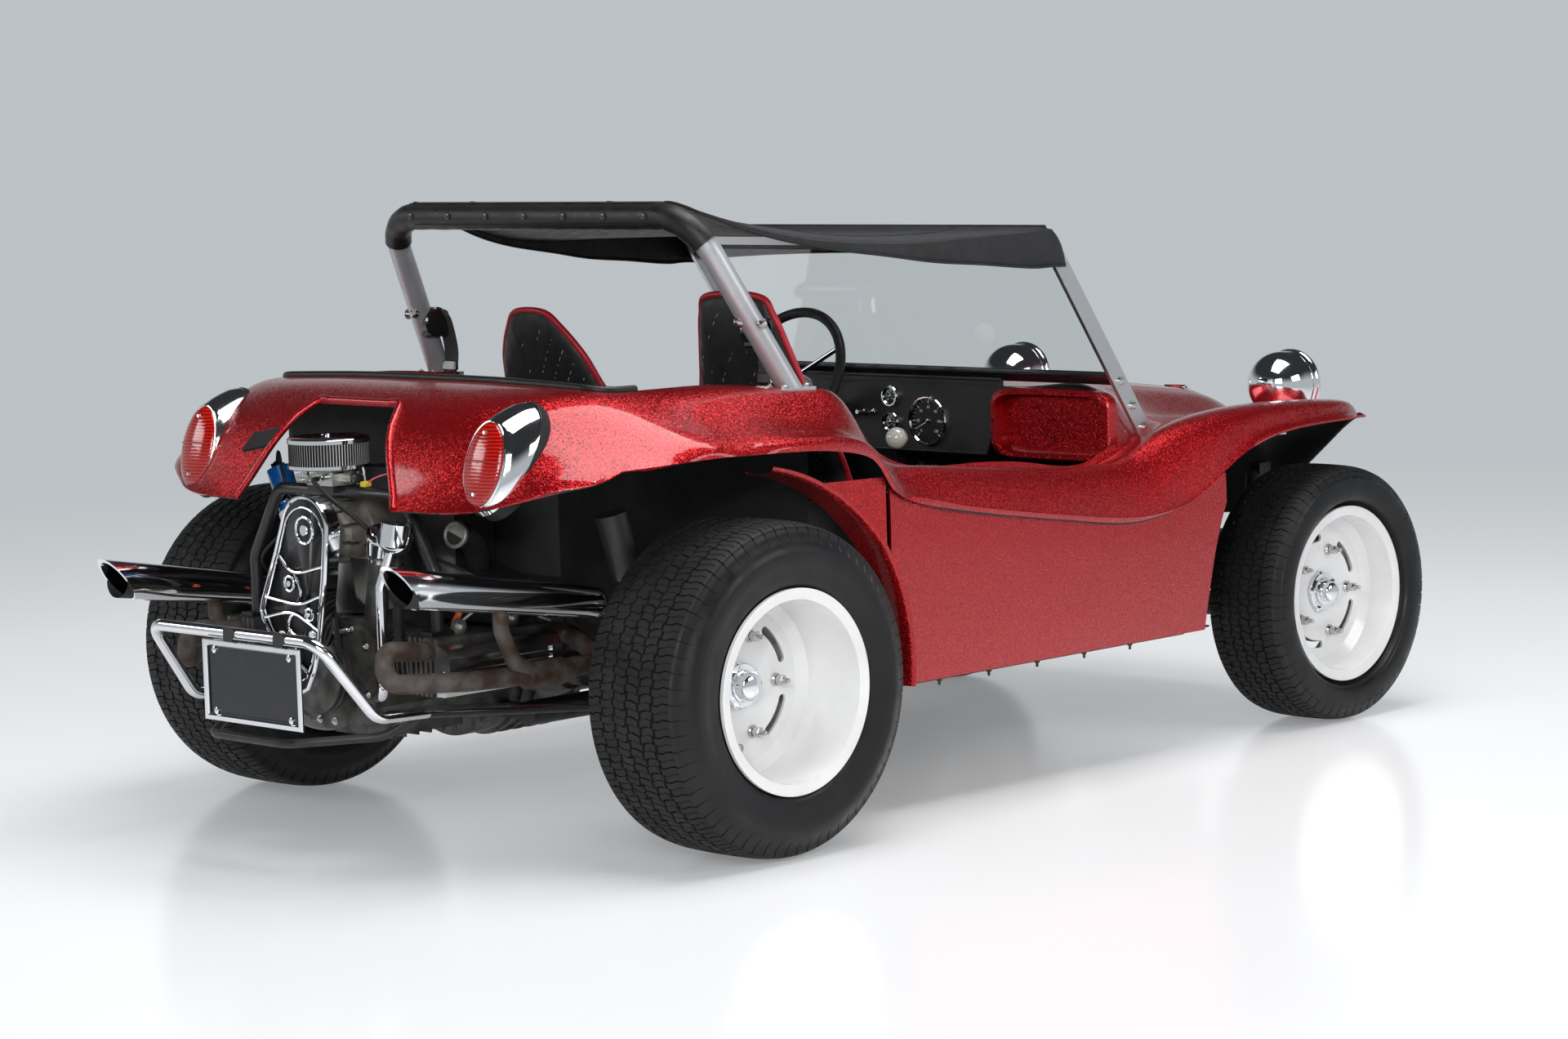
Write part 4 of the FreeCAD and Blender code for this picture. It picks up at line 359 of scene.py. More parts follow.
TREAD = rubber("tread_rubber", (0.010, 0.010, 0.010), 0.60, 520.0)
SIDEWALL = rubber("sidewall_rubber", (0.006, 0.006, 0.0065), 0.40, 900.0)
RUBBER = rubber("black_rubber", (0.012, 0.012, 0.012), 0.55, 700.0)
RUST = rusted()
LENS_RED = lamp_red()
GLASS = clear_glass("screen_glass")
LAMP_GLASS = clear_glass("lamp_glass", (0.9, 0.92, 0.93))
CANOPY_CLOTH = vinyl("canopy_vinyl", (0.006, 0.006, 0.007), 0.5, 760.0, 0.3)
HEM_LEATHER = vinyl("hem_vinyl", (0.006, 0.006, 0.0065), 0.34, 420.0, 0.5)
SEAT_BLACK = vinyl("seat_vinyl", (0.009, 0.009, 0.0105), 0.46, 520.0, 0.35)
PIPING_RED = vinyl("piping_red", (0.30, 0.008, 0.016), 0.34, 700.0, 0.2)
THREAD = woven("pale_thread", (0.30, 0.30, 0.31))
WEBBING = woven("belt_webbing", (0.012, 0.012, 0.013))
IVORY = coloured("knob_ivory", (0.80, 0.77, 0.68), 0.12, 0.0, 1.0)
DIAL_BLACK = coloured("dial_face", (0.008, 0.008, 0.009), 0.35)
DIAL_WHITE = coloured("dial_marks", (0.72, 0.72, 0.70), 0.5)
COIL_BLUE = coloured("coil_blue", (0.008, 0.10, 0.36), 0.24, 0.2, 0.6)
BOOT_ORANGE = coloured("boot_orange", (0.78, 0.13, 0.02), 0.42)
WIRE_YELLOW = coloured("wire_yellow", (0.70, 0.52, 0.04), 0.4)
WIRE_PINK = coloured("wire_pink", (0.72, 0.10, 0.17), 0.4)
WIRE_WHITE = coloured("wire_white", (0.62, 0.60, 0.55), 0.45)
AIR_PAPER = coloured("filter_gauze", (0.42, 0.42, 0.41), 0.35, 0.6)
AIR_DARK = coloured("filter_mesh", (0.045, 0.045, 0.045), 0.5, 0.4)
PLATE_BLACK = satin_black("plate_black", 0.3, (0.011, 0.011, 0.012))


# Building forms

def placed(name, data):
    """A new object in the scene."""
    made = bpy.data.objects.new(name, data)
    bpy.context.scene.collection.objects.link(made)
    return made


def turns(count):
    """Equal steps of angle once round a circle."""
    return [2 * math.pi * k / count for k in range(count)]


def rounded_box(half_width, half_height, power, count):
    """Outline about its middle that runs from an ellipse at power 1 towards a box at 0."""
    line = []
    for t in turns(count):
        c = math.cos(t)
        s = math.sin(t)
        line.append((half_width * math.copysign(abs(c) ** power, c),
                     half_height * math.copysign(abs(s) ** power, s)))
    return line


def mirrored(point):
    return Vector((point.x, -point.y, point.z))


def across(axis):
    """An axis made one long, and two directions square to it."""
    axis = Vector(axis).normalized()
    helper = UP if abs(axis.z) < 0.9 else FORWARD
    first = axis.cross(helper).normalized()
    return axis, first, axis.cross(first)


def weld(mesh, reach, sharp, outward=False):
    """Join points within reach, turn faces outward where asked, and keep sharp edges crisp."""
    build = bmesh.new()
    build.from_mesh(mesh)
    bmesh.ops.remove_doubles(build, verts=build.verts, dist=reach * MM)
    if outward:
        bmesh.ops.recalc_face_normals(build, faces=build.faces)
    limit = math.radians(sharp)
    for face in build.faces:
        face.smooth = True
    for edge in build.edges:
        edge.smooth = len(edge.link_faces) != 2 or edge.calc_face_angle(0.0) <= limit
    build.to_mesh(mesh)
    build.free()


class Form:
    """Points and faces of one piece, gathered from simple shapes in millimetres."""

    def __init__(self):
        self.points = []
        self.faces = []
        self.slots = []

    def add(self, points, faces, slot=0):
        first = len(self.points)
        self.points += [tuple(p) for p in points]
        self.faces += [tuple(first + i for i in face) for face in faces]
        self.slots += [slot] * len(faces)

    def grid(self, rows, slot=0, round_rows=False, round_points=False, slots=None):
        """Faces over equal rows of points; slots may give each column its own finish."""
        wide = len(rows[0])
        tall = len(rows)
        faces = []
        finish = []
        for i in range(tall if round_rows else tall - 1):
            for j in range(wide if round_points else wide - 1):
                a = i * wide
                b = ((i + 1) % tall) * wide
                k = (j + 1) % wide
                faces.append((a + j, a + k, b + k, b + j))
                finish.append(slots[j] if slots else slot)
        self.add([p for row in rows for p in row], faces)
        self.slots[-len(faces):] = finish

    def turned(self, profile, centre, axis, steps, slot=0):
        """(distance along, radius) pairs turned about an axis."""
        centre = Vector(centre)
        axis, u, v = across(axis)
        rows = []
        for angle in turns(steps):
            out = u * math.cos(angle) + v * math.sin(angle)
            rows.append([centre + axis * a + out * r for a, r in profile])
        self.grid(rows, slot, round_rows=True)

    def rod(self, start, end, radius, slot, steps=16):
        start = Vector(start)
        along = Vector(end) - start
        length = along.length
        self.turned([(0, 0), (0, radius), (length, radius), (length, 0)], start, along, steps, slot)

    def nut(self, centre, axis, radius, height, slot=0, stud=0.0, washer=True):
        """Hexagon with a chamfered top, its washer and the stud's end."""
        if washer:
            self.turned([(0, 0), (0, radius * 1.45), (height * 0.16, radius * 1.45), (height * 0.16, 0)],
                        centre, axis, 20, slot)
        self.turned([(height * 0.16, radius), (height * 0.9, radius), (height, radius * 0.84), (height, 0)],
                    centre, axis, 6, slot)
        if stud:
            self.turned([(height, radius * 0.48), (height + stud * 0.85, radius * 0.48),
                         (height + stud, radius * 0.36), (height + stud, 0)], centre, axis, 12, slot)

    def block(self, low, high, slot, soften):
        """Box with its edges cut back by soften."""
        x0, y0, z0 = low
        x1, y1, z1 = high
        s = soften
        rings = []
        for z, inset in ((z0, s), (z0 + s, 0.0), (z1 - s, 0.0), (z1, s)):
            a = x0 + inset
            b = x1 - inset
            c = y0 + inset
            d = y1 - inset
            rings.append([(a + s, c, z), (b - s, c, z), (b, c + s, z), (b, d - s, z),
                          (b - s, d, z), (a + s, d, z), (a, d - s, z), (a, c + s, z)])
        self.grid(rings, slot, round_points=True)
        count = len(rings[0])
        base = len(self.points) - count * len(rings)
        self.faces.append(tuple(base + i for i in range(count)))
        self.faces.append(tuple(base + 3 * count + i for i in range(count)))
        self.slots += [slot, slot]

    def slab(self, outline, along, slot=0):
        """Flat outline pushed along a direction."""
        along = Vector(along)
        points = [Vector(p) for p in outline]
        count = len(points)
        faces = [tuple(range(count)), tuple(range(count, 2 * count))]
        faces += [(i, (i + 1) % count, count + (i + 1) % count, count + i) for i in range(count)]
        self.add(points + [p + along for p in points], faces, slot)

    def pipe(self, line, radius, slot=0, steps=12, closed=False):
        """Round section carried along a line of points; radius may be one per point."""
        line = [Vector(p) for p in line]
        count = len(line)
        radii = list(radius) if hasattr(radius, "__len__") else [radius] * count
        side = None
        rows = []
        for i, point in enumerate(line):
            ahead = line[(i + 1) % count] if closed or i + 1 < count else point
            behind = line[i - 1] if closed or i > 0 else point
            along = (ahead - behind).normalized()
            if side is None:
                side = across(along)[1]
            side = (side - along * side.dot(along)).normalized()
            other = along.cross(side)
            rows.append([point + (side * math.cos(t) + other * math.sin(t)) * radii[i] for t in turns(steps)])
        self.grid(rows, slot, round_rows=closed, round_points=True)
        if not closed:
            base = len(self.points) - count * steps
            self.faces.append(tuple(base + i for i in range(steps)))
            self.faces.append(tuple(base + (count - 1) * steps + i for i in range(steps)))
            self.slots += [slot, slot]

    def mirror(self):
        """Add the same forms on the car's other side."""
        self.add([(x, -y, z) for x, y, z in self.points], list(self.faces))
        self.slots[-len(self.faces) // 2:] = self.slots[:len(self.slots) // 2]

    def piece(self, name, finishes, body="root", sharp=32.0):
        """Make the piece, with edges sharper than an angle in degrees left crisp."""
        mesh = bpy.data.meshes.new(name)
        mesh.from_pydata([at(*p) for p in self.points], [], self.faces)
        mesh.polygons.foreach_set("material_index", self.slots)
        weld(mesh, 0.002, sharp, outward=True)
        for finish in finishes if isinstance(finishes, (list, tuple)) else [finishes]:
            mesh.materials.append(finish)
        made = placed(name, mesh)
        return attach(made, body)


def smooth_line(points, count):
    """A smooth line of count points through a few chosen ones."""
    chosen = np.array([tuple(p) for p in points], float)
    chosen = np.vstack([2 * chosen[0] - chosen[1], chosen, 2 * chosen[-1] - chosen[-2]])
    spans = len(chosen) - 3
    line = []
    for step in np.linspace(0, spans, count):
        i = min(int(step), spans - 1)
        t = step - i
        a, b, c, d = chosen[i:i + 4]
        line.append(0.5 * (2 * b + (c - a) * t + (2 * a - 5 * b + 4 * c - d) * t * t
                           + (3 * b - a - 3 * c + d) * t ** 3))
    return line


# Finishes of the frame's own pieces

STEERING_CENTRE = from_axle(middle("steering_wheel"))
SPOKE_REACH = 150.0
CORE_REAR = -60.0     # ends and height of a line inside the moulding, which its outer face looks away from
CORE_FRONT = 1750.0
CORE_Z = 180.0
SCREEN_BAR_HALF = 562.0
SCREEN_BAR_TOP = 900.0
GUARD_TIE_TOP = 296.0


def refinish(name, finishes, choose=None):
    """Give a CAD node its finishes; choose picks one per face from its middle and direction."""
    mesh = nodes[name].data
    finishes = finishes if isinstance(finishes, (list, tuple)) else [finishes]
    mesh.materials.clear()
    for finish in finishes:
        mesh.materials.append(finish)
    if choose is None:
        mesh.polygons.foreach_set("material_index", [0] * len(mesh.polygons))
        return
    picks = [choose(from_axle(face.center), face.normal) for face in mesh.polygons]
    mesh.polygons.foreach_set("material_index", picks)


def outside(point, normal):
    """0 on the moulding's outer face and 1 on its inner face."""
    core = Vector((min(max(point.x, CORE_REAR), CORE_FRONT), 0.0, CORE_Z))
    return 0 if (point - core).dot(normal) > 0 else 1


def panel_side(point, normal):
    """0 on a side panel's outer face and its edges, 1 on its inner face."""
    return 0 if normal.y * point.y > -0.2 * abs(point.y) else 1


def screen_face(point, normal):
    """The screen's lower bar is painted black, the rest is bare."""
    return 1 if abs(point.y) < SCREEN_BAR_HALF and point.z < SCREEN_BAR_TOP else 0


BELT_X = -522.0


def belt_or_body(point, normal):
    """Rubber belt, pulleys and the alternator's cast body."""
    if point.x > BELT_X + 14:
        return 0 if point.z > 588 else 2
    return 1 if abs(point.x - BELT_X) < 4.5 else 2


def guard_bar_part(point, normal):
    """The bar is plated, its lower tie under the engine is black."""
    return 1 if point.z < GUARD_TIE_TOP else 0


def fitting_part(point, normal):
    """Coil with its bright top, distributor cap, and the oil filler with its pipe and cap."""
    if point.y > 150:
        return 1 if point.x > -385 and abs(point.z - 660) < 9 else 0
    if point.y > 20:
        return 2
    if point.y < -180 or point.x < -495:
        return 1
    return 1 if point.x < -452 and point.z > 600 else 3


def controls_part(point, normal):
    """Black pedals and brackets, the gear lever's ivory knob and the two bright levers."""
    knob = Vector((COCKPIT_FRONT - 116, -10, 713))
    if (point - knob).length < 27.5:
        return 1
    return 2 if point.z > 404 and abs(point.y) < 60 and point.x > COCKPIT_FRONT - 130 else 0


def wheel_part(point, normal):
    """Steering wheel: wrapped rim and bare spokes."""
    return 0 if (point - STEERING_CENTRE).length > SPOKE_REACH else 1


def finish_frame():
    """Every CAD node that shows gets its finish, whole or by its faces."""
    whole = (
        (CHROME, ("hood_hinges", "front_bumper", "mufflers")),
        (TIN_BLACK, ("fan_shroud", "intake_manifold")),
        (FRAME_BLACK, ("floor_pan", "front_arms", "front_beam", "knuckle_left", "knuckle_right", "rear_frame",
                       "rear_suspension", "steering_column")),
        (GLOSS_BLACK, ("fuel_tank",)),
        (PLATE_BLACK, ("licence_plate",)),
        (DARK_STEEL, ("pitman_arm", "tie_rod_left", "tie_rod_right")),
        (SILVER, ("roll_bar",)),
        (CASE, ("transaxle", "cylinder_banks", "engine_case")),
        (INNER_BLACK, ("tub",)),
        (GLASS, ("windshield_glass",)),
        (RUST, ("exhaust_header",)),
        (ZINC, ("carburettor",)),
        (POLISHED, ("valve_covers",)),
        (WHITE, ("rim_rear_left", "rim_rear_right", "rim_front_left", "rim_front_right")),
    )
    for finish, names in whole:
        for name in names:
            refinish(name, finish)
    refinish("side_panel_left", [RED, INNER_BLACK], panel_side)
    refinish("side_panel_right", [RED, INNER_BLACK], panel_side)
    refinish("body_shell", [RED, INNER_BLACK], outside)
    refinish("hood", [RED, INNER_BLACK], outside)
    refinish("windshield_frame", [BRUSHED, GLOSS_BLACK], screen_face)
    refinish("alternator", [CAST, RUBBER, STEEL], belt_or_body)
    refinish("guard_bar", [CHROME, FRAME_BLACK], guard_bar_part)
    refinish("engine_fittings", [COIL_BLUE, CHROME, GLOSS_BLACK, CASE], fitting_part)
    refinish("cabin_controls", [FRAME_BLACK, IVORY, CHROME], controls_part)
    refinish("steering_wheel", [RUBBER, POLISHED], wheel_part)


# Tyres

TYRES = {
    "rear": {"radius": 340.0, "section": 285.0, "tread": 225.0, "bead": 124.0, "pitches": 66},
    "front": {"radius": 304.0, "section": 216.0, "tread": 180.0, "bead": 76.0, "pitches": 60},
}
RIM_LIP = 208.0
RIBS = 6
RIBS_IN_TREAD = 6.3   # the two outer ribs are a little wider than the rest
HALF_GROOVE = 3.2
GROOVE_DEPTH = 7.0
RIB_STEP = 2.6        # the grooves step sideways by this twice in a pitch
SIPE_ROWS = (0.0, 0.02, 0.085, 0.105, 0.30)   # shares of a pitch in each half of it
CUT_ROWS = (1, 2)                             # the rows at the bottom of a sipe
WALL_RINGS = ((44.0, 46.5), (60.0, 63.0))     # raised rings, as depths below the tread


def tyre_wall(size):
    """A sidewall from the bead to the tread, as points with the distance across and the radius."""
    half = size["section"] / 2.0
    edge = size["tread"] / 2.0
    bead = size["bead"]
    radius = size["radius"]
    widest = (RIM_LIP + 3.0 + radius) / 2.0 - 8.0
    line = [(bead - 4.0, 191.0), (bead, RIM_LIP - 12.0), (bead + 1.0, RIM_LIP), (bead + 8.0, RIM_LIP + 9.0),
            (half - 5.0, widest - 24.0), (half, widest), (half - 3.0, widest + 24.0),
            (edge + 11.0, radius - 26.0), (edge + 6.0, radius - 13.0), (edge + 0.5, radius - 7.5)]
    return smooth_line([(a, r, 0) for a, r in line], 34)


def tread_columns(size):
    """Points across the tread: the place, the rib's number or -1 in a groove, and the depth."""
    edge = size["tread"] / 2.0
    rib = size["tread"] / RIBS_IN_TREAD
    columns = []
    for number in range(RIBS):
        inner = -edge if number == 0 else (number - 3) * rib + HALF_GROOVE
        outer = edge if number == RIBS - 1 else (number - 2) * rib - HALF_GROOVE
        columns += [(inner + (outer - inner) * share, number, 0.0) for share in (0.0, 0.33, 0.67, 1.0)]
        if number < RIBS - 1:
            columns.append((outer + 1.1, -1, GROOVE_DEPTH))
            columns.append((outer + 2 * HALF_GROOVE - 1.1, -1, GROOVE_DEPTH))
    return columns


def tyre(end, side):
    """Road tyre: six ribs between stepped grooves, sipes across them and ringed sidewalls."""
    size = TYRES[end]
    name = "tyre_" + end + "_" + side
    centre = from_axle(middle(name))
    centre.z = size["radius"]
    wall = tyre_wall(size)
    columns = tread_columns(size)
    rows = []
    for pitch in range(size["pitches"]):
        for half in (0, 1):
            for k, share in enumerate(SIPE_ROWS):
                turn = 2 * math.pi * (pitch + half * 0.5 + share) / size["pitches"]
                step = RIB_STEP if (half == 0) == (k > 0) else -RIB_STEP
                cut = k in CUT_ROWS
                line = wall_row(wall, size["radius"], cut and half == 0)
                tread = tread_row(columns, size, cut, half, step)
                whole = [(-y, r, 0.0) for y, r in line] + tread + [(y, r, 0.0) for y, r in reversed(line)]
                rows.append([(centre.x + r * math.sin(turn + wave_turn), centre.y + y,
                              centre.z - r * math.cos(turn + wave_turn)) for y, r, wave_turn in whole])
    form = Form()
    plain = len(wall) - 4
    form.grid(rows, round_rows=True, slots=[1] * plain + [0] * (len(columns) + 8) + [1] * plain)
    made = form.piece("dressed_" + name, [TREAD, SIDEWALL], "wheel_" + end + "_" + side, 40.0)
    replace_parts(made, name)


def wall_row(wall, radius, cut):
    """The sidewall's points at one angle, drawn in where a sipe runs down the shoulder."""
    line = []
    for y, r, _ in wall:
        depth = radius - r
        swell = 0.0
        if cut and depth < 38.0:
            swell = -2.4 if depth < 14.0 else -1.2 if depth <= 26.0 else -0.9
        if any(low < depth < high for low, high in WALL_RINGS):
            swell += 1.1
        line.append((y + swell, r + min(swell, 0.0) * 0.6))
    return line


def tread_row(columns, size, cut, half, step):
    """The tread's points at one angle: the place across, the radius and a small turn of their own."""
    edge = size["tread"] / 2.0
    rib = size["tread"] / RIBS_IN_TREAD
    pitch_angle = 2 * math.pi / size["pitches"]
    line = []
    for y, number, depth in columns:
        shoulder = number in (0, RIBS - 1)
        if cut and shoulder:
            depth = 5.5 if half == 0 else 1.6
        elif cut and number >= 0:
            depth = 4.5 if number % 2 == half else 1.8
        wave_turn = 0.10 * pitch_angle * math.sin(2 * math.pi * y / (rib * 1.3))
        shift = step if not shoulder or abs(y) < edge - 30 else 0.0
        fall = 3.0 * (y / edge) ** 2 + 5.0 * (y / edge) ** 8
        line.append((y + shift, size["radius"] - fall - depth, wave_turn))
    return line


def tyres():
    for end in TYRES:
        for side in ("left", "right"):
            tyre(end, side)


# Wheel centres

LUG_CIRCLE = 102.5
CAP_NUT_CIRCLE = 42.0
CAP_RADII = {"rear": 29.0, "front": 25.0}


def wheel_centre(end, side):
    """Drum, long wheel nuts on their studs, and the plated hub cap with its ring of small nuts."""
    name = "hub_" + end + "_" + side
    sign = 1 if side == "left" else -1
    cap = CAP_RADII[end]
    low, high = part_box(name)
    axle = from_axle((low + high) / 2)
    inner, outer = sorted((sign * from_axle(low).y, sign * from_axle(high).y))
    face = outer - 45.0
    back = face - 6.4
    form = Form()
    hub = (axle.x, 0, axle.z)
    form.turned([(inner, 108), (inner, 122), (inner + 16, 122), (inner + 18, 117), (back - 14, 117),
                 (back - 9, 122), (back - 2, 122), (back, 119), (back, 40), (back - 8, 40), (back - 8, 108),
                 (inner, 108)], hub, LEFT, 64, 0)
    dome = [(face + 34 + 11 * math.sin(t), cap * math.cos(t)) for t in np.linspace(0.15, math.pi / 2, 9)]
    form.turned([(back - 30, 16), (back - 30, 36), (face + 2, 36), (face + 2, 46), (face + 9, 46),
                 (face + 11, 44), (face + 11, 34), (face + 15, 32), (face + 16, cap), (face + 34, cap),
                 *dome], hub, LEFT, 64, 1)
    for angle in turns(5):
        x = axle.x + LUG_CIRCLE * math.cos(angle)
        z = axle.z + LUG_CIRCLE * math.sin(angle)
        form.rod((x, back - 4, z), (x, face + 1, z), 7, 2)
        form.turned([(face + 0.4, 0), (face + 0.4, 13.5), (face + 4, 13.5), (face + 8, 10.5), (face + 8, 0)],
                    (x, 0, z), LEFT, 24, 2)
        form.nut((x, face + 7, z), LEFT, 11, 19, 2, 15, washer=False)
        x = axle.x + CAP_NUT_CIRCLE * math.cos(angle + 0.5)
        z = axle.z + CAP_NUT_CIRCLE * math.sin(angle + 0.5)
        form.turned([(face + 1, 9), (face + 10, 9), (face + 12, 6.5), (face + 12, 0)], (x, 0, z), LEFT, 20, 1)
        form.nut((x, face + 11, z), LEFT, 5.2, 6, 1, 3, washer=False)
    form.points = [(x, sign * y, z) for x, y, z in form.points]
    made = form.piece("dressed_" + name, [DARK_STEEL, CHROME, STEEL], "wheel_" + end + "_" + side)
    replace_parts(made, name)


def wheel_centres():
    for end in CAP_RADII:
        for side in ("left", "right"):
            wheel_centre(end, side)


# Lamps

BEHIND_TAIL = -900.0
ABOVE_DECK = 1150.0
DECK_TOP = 900.0      # taken where a line down meets no skin


def skin_tree(mesh):
    """Search tree of a mesh, for finding the places where trim lies on it."""
    return BVHTree.FromPolygons([v.co for v in mesh.vertices], [tuple(p.vertices) for p in mesh.polygons])


def tail_skin(y, z):
    """The tail's outer face seen from behind at a place across and up."""
    hit = SKIN.ray_cast(at(BEHIND_TAIL, y, z), FORWARD)[0]
    return from_axle(hit) if hit else None


def deck_height(x, y):
    """Height of the deck's outer face at a place in plan."""
    hit = SKIN.ray_cast(at(x, y, ABOVE_DECK), -UP)[0]
    return from_axle(hit).z if hit else DECK_TOP


WELL_REAR = -190.0
WELL_FRONT = 345.0
WELL_HALF = 520.0
WELL_FLOOR = 800.0
WELL_CORNER = 55.0


def well_outline():
    """Plan of the open well behind the seats, from the cockpit round its rear corners."""
    line = [(x, WELL_HALF) for x in np.linspace(WELL_FRONT, WELL_REAR + WELL_CORNER, 12)]
    for k in range(1, 9):
        angle = math.pi / 2 * k / 9
        line.append((WELL_REAR + WELL_CORNER - WELL_CORNER * math.sin(angle),
                     WELL_HALF - WELL_CORNER + WELL_CORNER * math.cos(angle)))
    line += [(WELL_REAR, y) for y in np.linspace(WELL_HALF - WELL_CORNER, 0, 8)]
    return line + [(x, -y) for x, y in reversed(line[:-1])]


def body_skin():
    """The moulding with its deck opened into the well behind the seats."""
    source = nodes["body_shell"].data
    cutter_form = Form()
    cutter_form.slab([(x, y, 862.0) for x, y in well_outline()], (0, 0, 160))
    cutter = cutter_form.piece("well_cutter", RED)
    skin = bpy.data.meshes.new("body_skin")
    skin.from_pydata([v.co.copy() for v in source.vertices], [], [tuple(p.vertices) for p in source.polygons])
    skin.polygons.foreach_set("material_index", [p.material_index for p in source.polygons])
    for finish in (RED, INNER_BLACK):
        skin.materials.append(finish)
    weld(skin, 0.01, 0.0)
    made = placed("body_skin", skin)
    cut = made.modifiers.new("well", "BOOLEAN")
    cut.operation = "DIFFERENCE"
    cut.solver = "EXACT"
    cut.object = cutter
    depsgraph = bpy.context.evaluated_depsgraph_get()
    opened = bpy.data.meshes.new_from_object(made.evaluated_get(depsgraph))
    made.modifiers.remove(cut)
    made.data = opened
    bpy.data.objects.remove(cutter)
    weld(opened, 0.01, 30.0)
    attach(made, "root")
    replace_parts(made, "body_shell")


def well_liner():
    """Walls and floor of the well: body colour at the rim and black below."""
    form = Form()
    rows = []
    roll = []
    for x, y in well_outline():
        top = deck_height(x if x > WELL_REAR + 1 else WELL_REAR - 6, y * 1.012) - 1.5
        rows.append([(x, y, top), (x, y * 0.998, top - 38), (x, y * 0.995, top - 42),
                     (x, y * 0.99, WELL_FLOOR)])
        if x < -60:
            roll.append((x + 2, y * 0.995, top + 5))
    form.grid(rows, slots=[1, 1, 0])
    form.add([row[-1] for row in rows], [tuple(range(len(rows)))], 0)
    liner = form.piece("well_liner", [INNER_BLACK, RED], sharp=40.0)
    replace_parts(liner, "rear_shelf_pad")
    # A black sheet at the well's rear, behind the engine, where only shade shows: painted shade.
    form = Form()
    form.slab([(WELL_REAR + 4, y, z) for y, z in ((-380, 560), (380, 560), (380, 802), (-380, 802))],
              FORWARD * 3)
    form.piece("well_shade_sheet", INNER_BLACK)
    edge = Form()
    edge.pipe(roll, 8.5, 0, 12)
    edge.piece("well_roll", HEM_LEATHER)


ENGINE_TOP_HALF = 133.0
ENGINE_TOP_Z = 912.0
ENGINE_SPREAD = 184.0 / 312.0


def engine_lip():
    """Soft raised lip round the engine's opening in the tail."""
    near = []
    for z in (722, 745, 775, 810, 845, 872, 893):
        near.append(tail_skin(ENGINE_TOP_HALF + (ENGINE_TOP_Z - z) * ENGINE_SPREAD + 8.0, z))
    near += [tail_skin(y, ENGINE_TOP_Z + 7.5) for y in (126, 95, 60, 20)]
    near = [p for p in near if p]
    whole = near + [mirrored(p) for p in reversed(near)]
    form = Form()
    form.pipe([Vector(p) - FORWARD for p in smooth_line(whole, 120)], 7.5, 0, 12)
    form.piece("engine_opening_lip", RED)


ARCH_X = 60.0
ARCH_Z = 330.0
ARCH_RADIUS = 446.0
PANEL_REAR = 428.0
LEAN_FROM = 36.0      # degrees up the arch, from where its edge leans in
LEAN = 0.9            # millimetres for each degree


def on_arch(degrees, y, radius):
    """A point of the rear arch, leaning in as it climbs."""
    angle = math.radians(degrees)
    return (ARCH_X + radius * math.cos(angle), y - max(0.0, degrees - LEAN_FROM) * LEAN,
            ARCH_Z + radius * math.sin(angle))


def arch_flange():
    """Rolled rear edge of each side panel, turned in round the wheel arch, and the web that joins them."""
    section = ((717.5, 0.0), (717.0, 5.5), (713.0, 10.0), (700.0, 14.0), (640.0, 18.0), (640.0, 15.0))
    form = Form()
    form.grid([[on_arch(degrees, y, ARCH_RADIUS - drop) for y, drop in section]
               for degrees in np.linspace(-7.0, 80.0, 48)])
    web = []
    for degrees in np.linspace(20.0, 63.0, 24):
        x, y, z = on_arch(degrees, 715.0, ARCH_RADIUS - 3.0)
        front = max(x + 2.0, PANEL_REAR)
        web.append([(x, y, z), (front, 716.0, z), (front, 713.0, z), (x, y - 3.0, z)])
    form.grid(web, round_points=True)
    form.mirror()
    form.piece("arch_flanges", RED, sharp=60.0)


BOWL_CENTRE = (WHEELBASE + 118.0, 430.0, 785.0)
BOWL_RADIUS = 80.0
BOWL_LENS = 72.0


def headlamps():
    """Round plated bowls with a domed lens, seam ring and faceted foot."""
    form = Form()
    x, y, z = BOWL_CENTRE
    r = BOWL_RADIUS
    bowl = [(-10 - r * math.cos(t), r * math.sin(t)) for t in np.linspace(0.0, math.pi / 2, 18)]
    form.turned(bowl + [(14, r), (15, r - 1.6), (17, r - 1.6), (18, r + 0.6), (28, r + 0.6), (30, r + 1.5),
                        (31.5, r + 3.6), (36, r + 4), (41, r + 2.5), (43, r - 3), (42, r - 8)],
                BOWL_CENTRE, FORWARD, 64, 0)
    form.turned([(-62, 0), (-56, 20), (-30, 46), (8, 64), (40, BOWL_LENS)], BOWL_CENTRE, FORWARD, 48, 2)
    dome = [(40 + 10 * math.cos(t), BOWL_LENS * math.sin(t)) for t in np.linspace(math.pi / 2, 0.0, 10)]
    form.turned(dome, BOWL_CENTRE, FORWARD, 64, 1)
    form.rod((x - 40, y, z), (x - 12, y, z), 9, 1)
    foot = [[(-74, 0, -26), (-34, -34, -26), (40, -30, -26), (62, 0, -26), (40, 30, -26), (-34, 34, -26)],
            [(-70, 0, 2), (-32, -31, 4), (38, -27, 4), (58, 0, 2), (38, 27, 4), (-32, 31, 4)],
            [(-44, 0, 30), (-24, -22, 34), (28, -20, 34), (42, 0, 30), (28, 20, 34), (-24, 22, 34)]]
    low = z - r - 12
    rows = [[(x + a, y + b, low + c) for a, b, c in ring] for ring in foot]
    form.grid(rows, 0, round_points=True)
    form.mirror()
    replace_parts(form.piece("dressed_headlamps", [CHROME, LAMP_GLASS, POLISHED]), "headlamps")


def oval_ring(centre, along, side, length, width, count=56):
    """Points of an oval about a centre in the plane of two directions."""
    return [centre + along * (length * math.cos(t)) + side * (width * math.sin(t)) for t in turns(count)]


